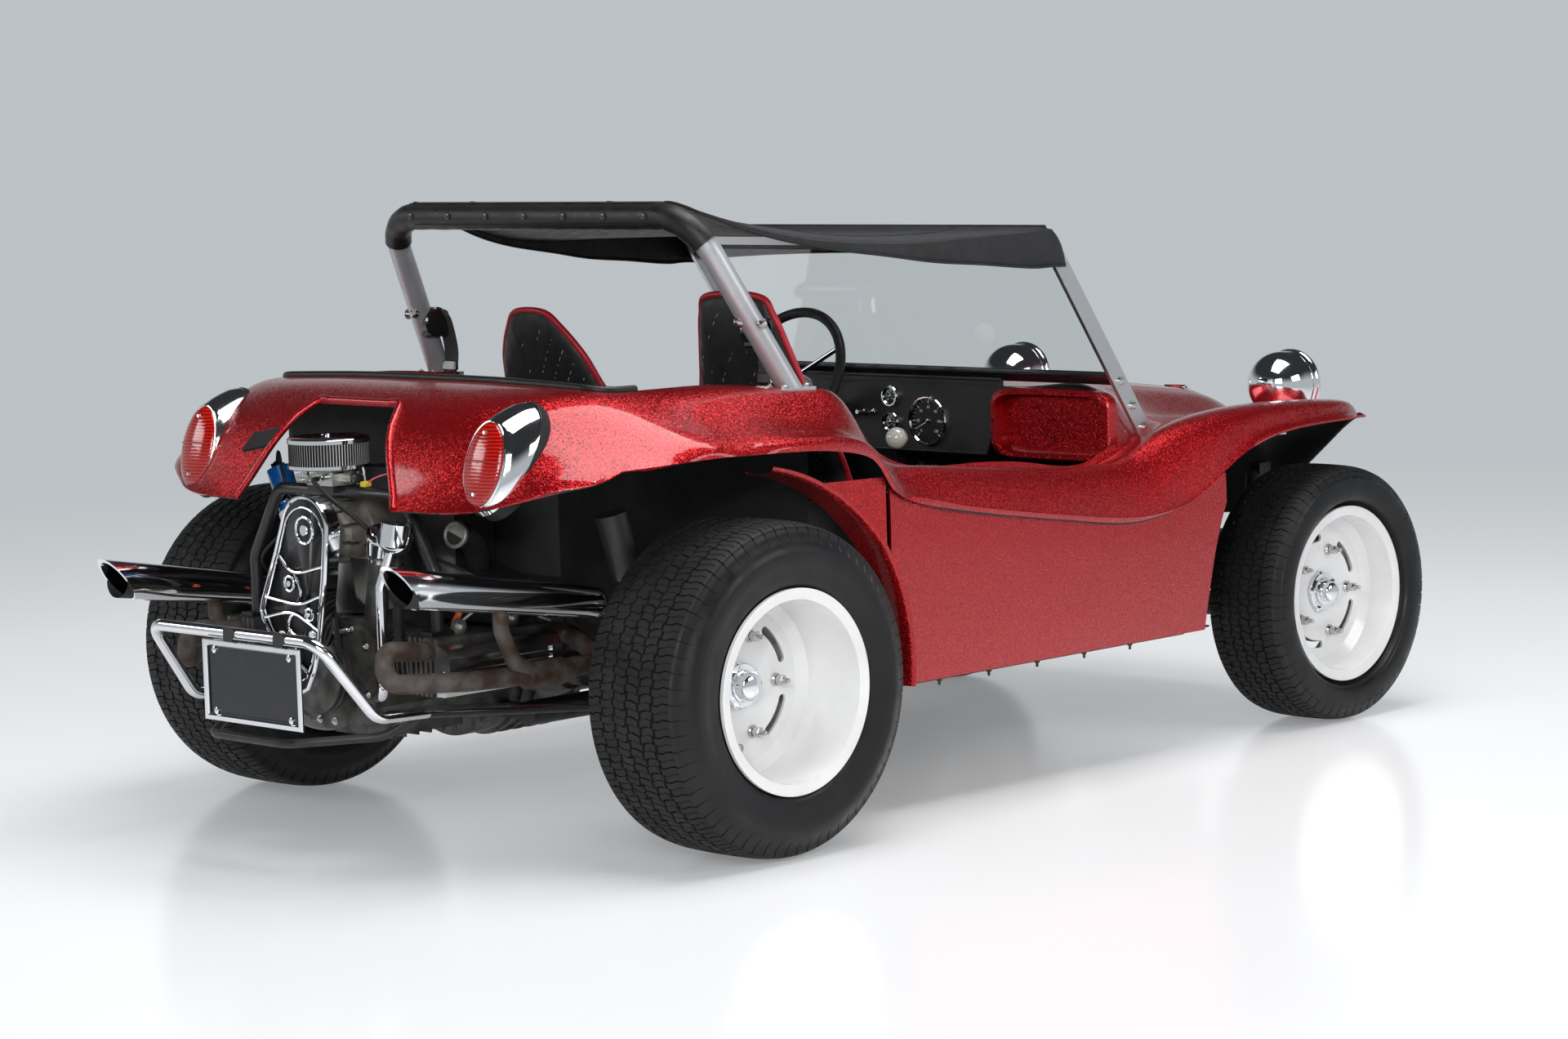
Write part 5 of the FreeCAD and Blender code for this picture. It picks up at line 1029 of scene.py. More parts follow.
LAMP_CENTRE = Vector((-390, 464, 824))
LAMP_UP = Vector((0.54, 0.0, 0.84)).normalized()
LAMP_OUT = Vector((-0.84, 0.0, 0.54)).normalized()
LENS_CENTRE = Vector((-446, 460, 814))
LENS_UP = Vector((0.28, 0.0, 0.96)).normalized()
LENS_OUT = Vector((-0.96, 0.02, 0.28)).normalized()
LENS_LENGTH = 86.5
LENS_WIDTH = 53.5
LENS_DEPTH = 20.0
LAMP_SHELL = ((-0.6, 124, 75), (0.0, 124, 75), (0.12, 123, 74.5), (0.35, 118, 73.5), (0.6, 108, 70),
              (0.8, 100, 65.5), (0.92, 94, 61), (1.0, 91, 58))   # share of the way to the lens, length, width


def tail_lamps():
    """Teardrop plated bodies on the tail's corners, each with an upright ribbed lens facing back."""
    form = Form()
    shell = []
    for share, length, width in LAMP_SHELL:
        t = max(share, 0.0)
        centre = LAMP_CENTRE.lerp(LENS_CENTRE, t) + LAMP_OUT * (40.0 * min(share, 0.0))
        up = LAMP_UP.lerp(LENS_UP, t ** 0.8).normalized()
        side = up.cross(LAMP_OUT.lerp(LENS_OUT, t)).normalized()
        shell.append(oval_ring(centre, up, side, length, width))
    lens_side = LENS_UP.cross(LENS_OUT).normalized()

    def lens_ring(out, length, width, count=56):
        return oval_ring(LENS_CENTRE + LENS_OUT * out, LENS_UP, lens_side, length, width, count)

    shell.append(lens_ring(1.5, LENS_LENGTH + 1, LENS_WIDTH + 1))
    form.grid(shell, 0, round_points=True)
    lamp_side = LAMP_UP.cross(LAMP_OUT).normalized()
    gasket = [oval_ring(LAMP_CENTRE + LAMP_OUT * out, LAMP_UP, lamp_side, length, width)
              for out, length, width in ((-30, 126, 77), (-6, 127, 78), (0, 126, 77), (1, 123, 74.5))]
    form.grid(gasket, 2, round_points=True)
    lens = [lens_ring(1.0 + LENS_DEPTH * math.cos(t), LENS_LENGTH * math.sin(t), LENS_WIDTH * math.sin(t))
            for t in np.linspace(math.pi / 2, 0.02, 16)]
    form.grid(lens, 1, round_points=True)
    form.pipe(lens_ring(2.0, LENS_LENGTH + 1, LENS_WIDTH + 1, 72), 2.2, 0, 8, closed=True)
    band = []
    for y in np.linspace(-51.0, 51.0, 24):
        rise = LENS_DEPTH * math.sqrt(max(0.0, 1.0 - (y / LENS_WIDTH) ** 2))
        band.append(LENS_CENTRE + LENS_OUT * (2.6 + rise) + lens_side * y + LENS_UP * 4.0)
    form.pipe(band, 1.6, 1, 6)
    for lift in (-62.0, 62.0):
        spot = LENS_CENTRE + LENS_OUT * 16.0 + LENS_UP * lift
        form.turned([(-4, 4.5), (1.5, 4.5), (3, 2.5), (3, 0)], spot, LENS_OUT, 16, 0)
    form.mirror()
    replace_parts(form.piece("dressed_tail_lamps", [CHROME, LENS_RED, RUBBER]), "tail_lamps")


# Canopy and seats

# Each station of the top: place along the car, height, sag towards the side, half width, drop of the skirt
CANOPY_STATIONS = (
    (108, 1306, 0, 398, 0), (134, 1307, 0, 402, 0), (165, 1304, 6, 412, 0), (214, 1298, 17, 428, 4),
    (307, 1287, 34, 452, 10), (401, 1272, 42, 478, 14), (507, 1252, 40, 502, 18), (650, 1226, 26, 526, 28),
    (776, 1209, 12, 546, 45), (911, 1201, 1, 562, 60), (1055, 1201, -4, 577, 78), (1112, 1213, 2, 584, 84),
    (1134, 1210, 10, 585, 73), (1152, 1196, 16, 584, 54), (1164, 1176, 18, 582, 32), (1171, 1152, 20, 580, 8),
)
CLOTH_ROWS = 110
CLOTH_THICKNESS = 2.2
CREST = 0.9   # share of the way to the side where the roof turns down into the skirt
HOOP_TOP = Vector((118, 480, 1277))
HOOP_FOOT = Vector((318, 559, 905))
HOOP_BEND = 110.0


def canopy_point(station, share):
    """A point of the cloth: roof to its crest, then the skirt that hangs from it."""
    x, z, sag, half, drop = station
    side = math.copysign(1.0, share)
    inward = min(abs(share) / CREST, 1.0)
    skirt = max(0.0, (abs(share) - CREST) / (1.0 - CREST))
    free = max(0.0, min(1.0, (x - 170) / 160.0)) * max(0.0, min(1.0, (1100 - x) / 160.0))
    fold = free * 1.6 * math.sin(inward * 9.0 + x * 0.006) * inward ** 2
    round_off = 3.0 * math.exp(-((abs(share) - CREST) / 0.02) ** 2)
    y = half * inward + min(drop, 30.0) * 0.16 * math.sin(skirt * math.pi / 2)
    return Vector((x, side * y, z - sag * inward ** 2 - drop * skirt + fold - round_off))


def canopy():
    """Cloth top from a sleeve round the hoop to the screen's head, with hems, seams and snaps."""
    places = smooth_line([station[:3] for station in CANOPY_STATIONS], CLOTH_ROWS)
    spans = smooth_line([(half, drop, 0) for _, _, _, half, drop in CANOPY_STATIONS], CLOTH_ROWS)
    shares = [*np.linspace(1, 0.9, 8), *np.linspace(0.88, -0.88, 64), *np.linspace(-0.9, -1, 8)]
    rows = []
    for (x, z, sag), (half, drop, _) in zip(places, spans):
        rows.append([canopy_point((x, z, sag, half, drop), share) for share in shares])
    form = Form()
    form.grid(rows)
    cloth = form.piece("canopy_cloth", CANOPY_CLOTH, sharp=70.0)
    thick = cloth.modifiers.new("thickness", "SOLIDIFY")
    thick.thickness = CLOTH_THICKNESS * MM
    thick.offset = 0.0
    hems = canopy_hems(rows)
    area = sum(grid_area(a, b) for a, b in zip(rows, rows[1:])) * MM * MM
    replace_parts(cloth, "canopy")


def grid_area(first, second):
    """Area of the strip between two rows of points."""
    corners = zip(first, first[1:], second[1:], second)
    return sum(((c - a).cross(d - b)).length / 2 for a, b, c, d in corners)


def hoop_line(share):
    """Centre line of the hoop from the middle of its top to a share of the way round its bend."""
    leg = (HOOP_FOOT - HOOP_TOP).normalized()
    turn = math.acos(leg.y)
    reach = HOOP_BEND * math.tan(turn / 2)
    start = HOOP_TOP - LEFT * reach
    inward = (leg - LEFT * leg.y).normalized()
    centre = start + inward * HOOP_BEND
    line = [Vector((start.x, y, start.z)) for y in np.linspace(0, start.y, 20)]
    for k in range(1, 13):
        angle = turn * share * k / 12
        line.append(centre + (LEFT * math.sin(angle) - inward * math.cos(angle)) * HOOP_BEND)
    return line


SLEEVE_RADIUS = 29.0
SNAP_PITCH = 124.0
ROOF_SEAMS = (22, 57)   # columns of the cloth's grid


def canopy_hems(rows):
    """Sleeve round the hoop, doubled edges, two roof seams and the snaps behind the hoop."""
    edges = Form()
    for column in (0, -1):
        edges.pipe([row[column] - UP for row in rows[4:]], 3.0, steps=8)
    edges.pipe([p + UP for p in rows[-1]], 3.0, steps=8)
    for column in ROOF_SEAMS:
        edges.pipe([row[column] + UP * 1.2 for row in rows[6:-4]], 1.4, steps=6)
    half = hoop_line(0.82)
    whole = [mirrored(p) for p in reversed(half[1:])] + half
    radii = [SLEEVE_RADIUS + 0.5 * math.sin(i * 1.7) for i in range(len(whole))]
    radii[0] += 1.2
    radii[-1] += 1.2
    edges.pipe(whole, radii, steps=28)
    edges.pipe([p + Vector((-24, 0, -17)) for p in whole[13:-13]], 1.6, steps=6)
    bar = Vector((COCKPIT_FRONT - 214, 0, 1193))
    down = Vector((0.575, 0, -0.818))
    front = Vector((0.818, 0, 0.575))
    wrap = [bar + down * a + front * b for a, b in ((-23, 9), (38, 9), (40, 0), (38, -9), (-23, -9))]
    edges.slab([p - LEFT * 574 for p in wrap], (0, 1148, 0))
    hem = edges.piece("canopy_hem", HEM_LEATHER)
    snaps = Form()
    for k in range(-3, 4):
        snaps.turned([(-1, 0), (-1, 7.5), (2.4, 7.5), (3.6, 5.5), (3.6, 3.2), (5, 2.6), (5, 0)],
                     (89.0, SNAP_PITCH * k, 1279), (-1, 0, 0.05), 18)
    for y in np.linspace(-520, 520, 8):
        snaps.turned([(-1, 0), (-1, 6.5), (2.4, 6.5), (3.4, 4.5), (3.4, 0)], (1172, y, 1166), (1, 0, 0.1), 18)
    return [hem, snaps.piece("canopy_snaps", GLOSS_BLACK)]


def both_sides(half_outline):
    """A closed outline from the points of one half, foot first."""
    return half_outline + [(-y, z) for y, z in reversed(half_outline)]


SEAT_Y = 310.0
SEAT_SHAPES = {
    "left": {"y": SEAT_Y, "base": 637.0, "lean": math.radians(22.4),
             "outline": both_sides([(205, 10), (226, 120), (234, 240), (222, 350), (190, 450), (157, 518),
                                    (131, 593), (86, 661), (44, 698)])},
    "right": {"y": -SEAT_Y, "base": 585.0, "lean": math.radians(15.0),
              "outline": both_sides([(205, 10), (226, 120), (232, 240), (216, 360), (180, 450), (152, 520),
                                     (130, 600), (108, 672), (76, 712)])},
}
BACK_MIDDLE = 330.0
FOOT_REACH = 318.0    # from that middle down to the back's foot
BACK_SWELL = 30.0
STITCH_PITCH = 44.0
STITCH_SLANT = 0.72


def back_swell(share):
    """How far the padding stands out at a share of the way to the back's edge."""
    return BACK_SWELL * (1.0 - share ** 6.0) ** 0.5


def stitched(u, v):
    """How deep a diagonal line of stitching pulls the cover in at (u, v), from 0 to 1."""
    offset = (u + v * STITCH_SLANT) % STITCH_PITCH
    away = min(offset, STITCH_PITCH - offset)
    return math.exp(-(away / 3.2) ** 2)


def seat_back(form, shape):
    """High back: a padded shield with diagonal stitching and a red welt round its edge."""
    outline = shape["outline"]
    ring = smooth_line([(y, z, 0) for y, z in outline + outline[:1]], 129)[:-1]
    shares = [0.08 * k for k in range(11)] + [0.87, 0.93, 0.97, 0.993, 1.0]
    for face in (-1, 1):
        rows = []
        for share in shares:
            row = []
            for y, z, _ in ring:
                py = y * share
                pz = BACK_MIDDLE + (z - BACK_MIDDLE) * share
                hollow = 7.0 * (1.0 - share ** 2) if face > 0 else 0.0
                dip = 2.4 * stitched(py, pz) * (share < 0.985)
                row.append(back_place(face * (back_swell(share) - dip - hollow), py, pz, shape))
            rows.append(row)
        form.grid(rows, 0, round_points=True)
    welt = [back_place(0.0, y * 1.004, z, shape) for y, z, _ in ring]
    form.pipe(welt, 7.5, 1, 10, closed=True)


def back_place(x, y, z, shape):
    """A point of the seat back after its lean."""
    lean = shape["lean"]
    return (shape["base"] + x * math.cos(lean) - z * math.sin(lean), shape["y"] + y,
            408 + x * math.sin(lean) + z * math.cos(lean))


CUSHION_X = 785.0
CUSHION_HALF = 212.0
CUSHION_TOP = 440.0
CUSHION_RISE = 0.10   # the cushion climbs towards its front by this share


def seat_base(form, y_middle):
    """Bucket cushion: crowned top with stitched lines, a rolled front and padded sides."""
    outline = rounded_box(222, CUSHION_HALF, 0.42, 80)
    rows = []
    for share in np.linspace(0.0, 1.0, 16):
        row = []
        for x, y in outline:
            px = x * share
            py = y * share
            crown = 26 * (1 - share ** 4) + 10 * (abs(py) / CUSHION_HALF) ** 3
            dip = 3.0 * stitched(py, CUSHION_X + px) * (share < 0.97)
            row.append((CUSHION_X + px, y_middle + py, CUSHION_TOP + CUSHION_RISE * px + crown - dip))
        rows.append(row)
    for drop, swell in ((-13.3, 1.015), (-42.75, 1.02), (-76.0, 1.0), (-92.15, 0.97)):
        rows.append([(CUSHION_X + x * swell, y_middle + y * swell, CUSHION_TOP + CUSHION_RISE * x + drop)
                     for x, y in outline])
    rows.append([(CUSHION_X + x * 0.1, y_middle + y * 0.1, 348) for x, y in outline])
    form.grid(rows, 0, round_points=True)
    form.pipe([(CUSHION_X + x * 1.008, y_middle + y * 1.008, CUSHION_TOP + CUSHION_RISE * x + 3)
               for x, y in outline], 5.0, 1, 10, closed=True)
    for y in (-200, 176):
        form.slab([(580, y_middle + y, 263), (980, y_middle + y, 263), (980, y_middle + y, 356),
                   (580, y_middle + y, 344)], (0, 24, 0), 2)


def seats():
    """Two padded seats, each with its own back, and the thread on their rear faces."""
    made = []
    for side, shape in SEAT_SHAPES.items():
        form = Form()
        seat_back(form, shape)
        seat_base(form, shape["y"])
        seat = form.piece("seat_" + side, [SEAT_BLACK, PIPING_RED, FRAME_BLACK], sharp=55.0)
        made.append(seat)
        seat_thread("seat_thread_" + side, shape)
    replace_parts(made[0], "seats")


def seat_thread(name, shape):
    """Pale dashes of thread lying in the channels of the seat back's rear face."""
    form = Form()
    for number in range(-12, 24):
        dash = []
        for step, z in enumerate(np.arange(30.0, 706.0, 4.0)):
            y = number * STITCH_PITCH - z * STITCH_SLANT
            share = outline_share(y, z, shape["outline"])
            if share < 0.93 and step % 4 < 3:
                dash.append(back_place(1.2 - back_swell(share), y, z, shape))
            else:
                if len(dash) > 1:
                    form.pipe(dash, 0.8, 0, 4)
                dash = []
    form.piece(name, THREAD)


def outline_share(y, z, outline):
    """How far out a point of the seat back lies, 0 at its middle and 1 on its edge."""
    angle = math.atan2(y, z - BACK_MIDDLE)
    reach = math.hypot(y, z - BACK_MIDDLE)
    for (y0, z0), (y1, z1) in zip(outline, outline[1:] + outline[:1]):
        a0 = math.atan2(y0, z0 - BACK_MIDDLE)
        a1 = math.atan2(y1, z1 - BACK_MIDDLE)
        low, high = sorted((a0, a1))
        if high - low < math.pi and low <= angle <= high:
            t = (angle - a0) / (a1 - a0)
            return reach / math.hypot(y0 + (y1 - y0) * t, z0 + (z1 - z0) * t - BACK_MIDDLE)
        if high - low >= math.pi and (angle >= high or angle <= low):
            return reach / FOOT_REACH
    return 1.0


# Cabin details

def dial_angle(k, steps):
    """Direction of a mark on a dial that sweeps three quarters of a turn."""
    angle = math.radians(225 - 270 * k / steps)
    return Vector((0, -math.cos(angle), math.sin(angle)))


def dial(form, marks, centre, radius, needle):
    """Instrument facing the seats: bezel, face, tick ring, needle and hub."""
    centre = Vector(centre)
    form.turned([(0, radius), (-9, radius), (-12, radius - 2), (-12, radius - 5), (-8, radius - 8)],
                centre, FORWARD, 56, 1)
    form.turned([(-3, radius - 6), (-3, 0)], centre, FORWARD, 48, 0)
    for k in range(25):
        long = k % 4 == 0
        out = dial_angle(k, 24)
        marks.rod(centre + out * (radius - (18 if long else 13)) - FORWARD * 4,
                  centre + out * (radius - 9) - FORWARD * 4, 0.9 if long else 0.5, 0, 6)
    out = Vector((0, -math.cos(math.radians(needle)), math.sin(math.radians(needle))))
    marks.pipe([centre - out * 6 - FORWARD * 5, centre + out * (radius - 14) - FORWARD * 5], [1.5, 0.5], 0, 6)
    form.turned([(-3, 5), (-8, 5), (-9, 0)], centre, FORWARD, 20, 1)


def numerals(centre, radius):
    """Plain numbers round the large dial."""
    for k in range(7):
        text = bpy.data.curves.new("dial_number_%d" % k, "FONT")
        text.body = str(k * 20)
        text.size = 9.5 * MM
        text.align_x = "CENTER"
        text.align_y = "CENTER"
        text.extrude = 0.15 * MM
        text.materials.append(DIAL_WHITE)
        number = placed("dial_number_%d" % k, text)
        number.rotation_euler = (math.radians(90), 0, math.radians(-90))
        number.location = at(*(Vector(centre) + dial_angle(k, 6) * (radius - 27) - FORWARD * 4.2))
        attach(number, "root")


DIAL_RADIUS = 60.0
CUBBY_Y = -404.0
CUBBY_Z = 752.0


def dashboard():
    """Large and small dials on the black panel, and the red cubby beside it."""
    x = COCKPIT_FRONT + 2
    form = Form()
    marks = Form()
    dial(form, marks, (x, -8, 744), DIAL_RADIUS, 205)
    for z in (738, 800):
        dial(form, marks, (x, 112, z), 26.0, 120)
    for y in (176, 204):
        form.turned([(0, 9), (-3, 9), (-4, 5), (-16, 4), (-17, 8), (-24, 8), (-26, 5), (-26, 0)],
                    (x, y, 760), FORWARD, 20, 1)
    form.piece("dash_instruments", [DIAL_BLACK, CHROME])
    marks.piece("dash_marks", DIAL_WHITE)
    numerals((x, -8, 744), DIAL_RADIUS)
    cubby = Form()
    rows = []
    for depth, grow in ((0, 16), (-26, 16), (-30, 12), (-30, 2), (-26, 0), (-2, 0)):
        rows.append([(x + depth, CUBBY_Y + y, CUBBY_Z + z)
                     for y, z in rounded_box(164 + grow, 66 + grow, 0.35, 48)])
    cubby.grid(rows, 0, round_points=True)
    cubby.add(rows[-1], [tuple(range(48))], 0)
    cubby.piece("dash_cubby", RED, sharp=40.0)
    panel = Form()
    edge = [(x, y, z) for y, z in ((520, 674), (-186, 674), (-194, 696), (-236, 800), (-236, 848),
                                   (520, 848))]
    panel.slab(edge, (8, 0, 0))
    panel.pipe(edge, 4.0, 0, 10, closed=True)
    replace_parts(panel.piece("dash_panel", DASH_BLACK), "instrument_panel")


def screen_fixings():
    """Bolts with their washers through the screen's posts."""
    form = Form()
    foot = Vector((COCKPIT_FRONT + 122, 565, 716))
    top = Vector((COCKPIT_FRONT - 215, 565, 1195))
    along = (top - foot).normalized()
    for distance in (34, 96, 168, 560):
        spot = foot + along * distance
        form.turned([(0, 0), (0, 11), (2, 11), (2, 8), (7, 8), (9, 6), (9, 0)], spot + LEFT * 10, LEFT, 20)
        form.nut(spot + LEFT * 12, LEFT, 6.5, 6, 0, 2, washer=False)
    form.mirror()
    form.piece("screen_bolts", STEEL)


def hoop_fixings():
    """Bolt and domed nut through each leg for the belt reel, and the foot plate's bolts."""
    form = Form()
    form.turned([(-8, 0), (-8, 10), (0, 10), (16, 7), (22, 7), (24, 11), (34, 11), (40, 5), (40, 0)],
                (236, 533, 1052), (-0.6, -0.4, 0.1), 20, 0)
    form.rod((232, 542, 1052), (232, 574, 1052), 5, 0)
    form.nut((232, 564, 1052), LEFT, 8, 8, 0, 3)
    for x in (276, 340):
        for y in (538, 580):
            form.nut((x, y, 914.6), UP, 7, 7, 0, 3)
    form.mirror()
    form.piece("hoop_bolts", STEEL)


def belts():
    """Reel housings, buckles and straps hung from the legs of the hoop."""
    form = Form()
    form.turned([(-16, 0), (-16, 30), (-12, 34), (12, 34), (16, 30), (16, 0)], (262, 514, 1034), LEFT, 40)
    form.block((236, 500, 1000), (300, 530, 1060), 0, 5)
    strap = [(270, 505, 1062), (286, 504, 1040), (298, 504, 1000), (303, 503, 965), (300, 503, 932)]
    rows = []
    for point in smooth_line(strap, 26):
        rows.append([(point[0], point[1] + w, point[2]) for w in (-24, -12, 0, 12, 24)])
    form.grid(rows, 1)
    form.block((292, 482, 922), (306, 526, 946), 2, 3)
    form.block((294, 486, 900), (304, 522, 926), 0, 3)
    form.mirror()
    made = form.piece("dressed_belts", [GLOSS_BLACK, WEBBING, STEEL], sharp=40.0)
    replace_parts(made, "seat_belts")


# Engine details

ALTERNATOR_Z = 656.0
CRANK_Z = 375.0
GUARD_X = -560.0
GUARD_TOP = Vector((GUARD_X, -30, 668))
GUARD_MIDDLE = Vector((GUARD_X, 0, 545))
GUARD_WEBS = (((-80, 600), (10, 585), (62, 622)), ((-72, 540), (0, 520), (104, 528)),
              ((-62, 470), (20, 500), (110, 486)), ((-52, 425), (0, 450), (84, 440)),
              ((-30, 376), (10, 400), (48, 388)), ((10, 585), (-10, 548), (0, 520)),
              ((20, 500), (34, 470), (0, 450)), ((0, 450), (16, 425), (10, 400)))


def belt_guard():
    """Bright-edged plate over the belt with black panels between its webs and a deep return."""
    face = []
    for k in range(17):
        angle = math.radians(20 + 150 * k / 16)
        face.append(GUARD_TOP + Vector((0, 72 * math.cos(angle), 72 * math.sin(angle))))
    face += [Vector((GUARD_X, y, z)) for y, z in ((-88, 576), (-60, 436), (-44, 388), (-20, 348), (6, 336),
                                                  (26, 352), (116, 482), (122, 500), (116, 520), (66, 625))]
    form = Form()
    form.slab(face, (5, 0, 0), 0)
    form.pipe(face, 4.6, 1, 10, closed=True)
    form.pipe([p.lerp(GUARD_MIDDLE, 0.11) - FORWARD * 1.5 for p in face], 2.0, 1, 8, closed=True)
    depth = FORWARD * 34
    form.grid([[p, p + depth, p + depth + (GUARD_MIDDLE - p) * 0.03] for p in face[8:] + face[:1]], 1)
    for web in GUARD_WEBS:
        form.pipe(smooth_line([(GUARD_X - 1.5, y, z) for y, z in web], 14), 3.4, 1, 8)
    for y, z, radius in ((-30, 672, 27.0), (26, 560, 15.0), (-34, 500, 12.0)):
        ring = [(GUARD_X - 1.5, y + radius * math.cos(t), z + radius * math.sin(t)) for t in turns(36)]
        form.pipe(ring, 3.2, 1, 8, closed=True)
        form.turned([(-1, 0), (-1, radius * 0.45), (-5, radius * 0.4), (-5, 0)],
                    (GUARD_X, y, z), FORWARD, 24, 1)
    for y, z in ((-46.0, CRANK_Z + 86.0), (52.0, CRANK_Z + 80.0)):
        form.turned([(6, 9), (-4, 9), (-8, 7), (-8, 0)], (GUARD_X, y, z), FORWARD, 24, 1)
        form.rod((GUARD_X + 6, y, z), (-476, y, z), 8, 1)
    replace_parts(form.piece("dressed_belt_guard", [PLATE_BLACK, CHROME], sharp=28.0), "belt_guard")


def air_cleaner():
    """Pleated gauze between two thin plated lids, held by a winged nut."""
    low, high = (from_axle(corner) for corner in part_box("air_cleaner"))
    x = (low.x + high.x) / 2
    y = (low.y + high.y) / 2
    r = (high.x - low.x) / 2
    foot = low.z
    top = high.z
    form = Form()
    form.turned([(foot, 0), (foot, 40), (foot, r - 3), (foot + 2, r), (foot + 9, r), (foot + 10, r - 2),
                 (foot + 10, r - 10)], (x, y, 0), UP, 72, 0)
    form.turned([(top - 19, r - 10), (top - 19, r - 2), (top - 18, r), (top - 10, r), (top - 7, r - 3),
                 (top - 5, r - 14), (top - 5, 34), (top - 7, 26), (top - 7, 0)], (x, y, 0), UP, 72, 0)
    pleats = 84
    around = []
    for k in range(pleats):
        for share, depth in ((0.0, 6.0), (0.22, 2.5), (0.5, 2.0), (0.72, 6.0)):
            angle = 2 * math.pi * (k + share) / pleats
            around.append((x + math.cos(angle) * (r - depth), y + math.sin(angle) * (r - depth)))
    rings = [[(a, b, z) for a, b in around] for z in (foot + 8, top - 16)]
    # Only each pleat's crest takes the gauze's colour; its flanks and the valleys between pleats take the
    # black rubber finish, as painted shade between the pleats.
    form.grid(rings, round_points=True, slots=[2, 1, 2, 2] * pleats)
    form.rod((x, y, top - 8), (x, y, top - 1), 7, 0)
    form.block((x - 17, y - 2.2, top - 4), (x + 17, y + 2.2, top - 0.4), 0, 1)
    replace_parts(form.piece("dressed_air_cleaner", [CHROME, AIR_PAPER, RUBBER], sharp=40.0), "air_cleaner")


def breather():
    """Small mesh filter facing back on its bent pipe, and the knurled filler cap."""
    form = Form()
    start = Vector((-474, -212, 652))
    axis, u, v = across((-0.66, -0.52, 0.30))
    rows = []
    for k, angle in enumerate(turns(96)):
        rib = 1.6 if k % 4 < 2 else 0.0
        out = u * math.cos(angle) + v * math.sin(angle)
        profile = ((-18, 14), (-16, 27), (-13, 31), (-10, 31), (-8, 29.4 + rib), (24, 31.4 + rib), (26, 33),
                   (31, 33), (33, 31), (33, 25), (31, 22), (31, 0))
        rows.append([start + axis * a + out * r for a, r in profile])
    form.grid(rows, slots=[0, 0, 0, 1, 2, 2, 0, 0, 0, 2, 2], round_rows=True)
    form.pipe(smooth_line([start - axis * 14, start - axis * 34 - UP * 8, (-470, -206, 600),
                           (-466, -200, 520), (-462, -196, 440)], 24), 11, 1, 16)
    cap = Vector((-462, -150, 628))
    lean, u, v = across((-8, -15, 34))
    form.turned([(30, 33), (33, 34.5), (41, 34.5), (44, 32), (44, 25), (47, 23), (47, 0)], cap, lean, 48, 0)
    for k in range(3):
        out = u * math.cos(k * 2.1) + v * math.sin(k * 2.1)
        form.rod(cap + lean * 46 + out * 2, cap + lean * 46 + out * 19, 2.6, 0, 8)
    form.turned([(0, 25), (2, 27.5), (10, 27.5), (12, 25)], cap - lean * 20, lean, 32, 3)
    form.piece("breather_caps", [CHROME, RUBBER, AIR_DARK, STEEL])


HEAD_SIDE = 292.0
PLUG_PLACES = (-395.0, -255.0)


def distributor():
    """Black cap with its towers and the leads with orange boots to both heads."""
    form = Form()
    centre = Vector((-441, 100, 612))
    axis, u, v = across((-10, 5, 50))
    form.turned([(-6, 36), (0, 38), (16, 36), (24, 30), (27, 26), (27, 0)], centre, axis, 40, 0)
    towers = [centre + axis * 26 + (u * math.cos(t) + v * math.sin(t)) * 21 for t in (0.4, 1.97, 3.54, 5.11)]
    towers.append(centre + axis * 28)
    for spot in towers:
        form.turned([(0, 8), (10, 7), (12, 5), (12, 0)], spot, axis, 16, 0)
    ends = [Vector((x, y, 478)) for y in (HEAD_SIDE, -HEAD_SIDE) for x in PLUG_PLACES]
    lifts = [(-470, 226, 598), (-352, 214, 612), (-420, -120, 610), (-330, -150, 600)]
    for spot, lift, end in zip(towers, lifts, ends):
        line = smooth_line([spot + axis * 8, spot + axis * 34, lift, end + UP * 52, end], 30)
        form.pipe(line, 3.6, 1, 10)
        form.pipe(line[-8:], [4.6, 5.4, 6.4, 7.0, 7.4, 7.8, 8.4, 8.8], 2, 14)
        form.pipe(line[:5], [7.4, 7.0, 6.0, 5.0, 4.2], 2, 14)
    line = smooth_line([towers[4] + axis * 8, towers[4] + axis * 40, (-440, 178, 742), (-410, 236, 806),
                        (-400, 256, 784)], 30)
    form.pipe(line, 3.6, 1, 10)
    form.piece("ignition_leads", [GLOSS_BLACK, RUBBER, BOOT_ORANGE])


def coil_details():
    """Coil's black tower and terminals, and the bright band that holds it."""
    form = Form()
    foot = Vector((-400, 190, 640))
    axis = Vector((0, 60, 132)).normalized()
    form.turned([(66, 27.6), (68, 29.5), (84, 29.5), (86, 27.6)], foot, axis, 48, 0)
    form.turned([(24, 27.6), (26, 30), (50, 30), (52, 27.6)], foot, axis, 48, 1)
    form.turned([(143, 27.5), (146, 24), (146, 12), (160, 9), (162, 0)], foot, axis, 32, 2)
    for shift in (-15, 15):
        terminal = foot + FORWARD * shift
        form.rod(terminal + axis * 144, terminal + axis * 156, 3, 0)
    form.piece("coil_details", [CHROME, WHITE, GLOSS_BLACK])


MANIFOLD_TOP = 751.4


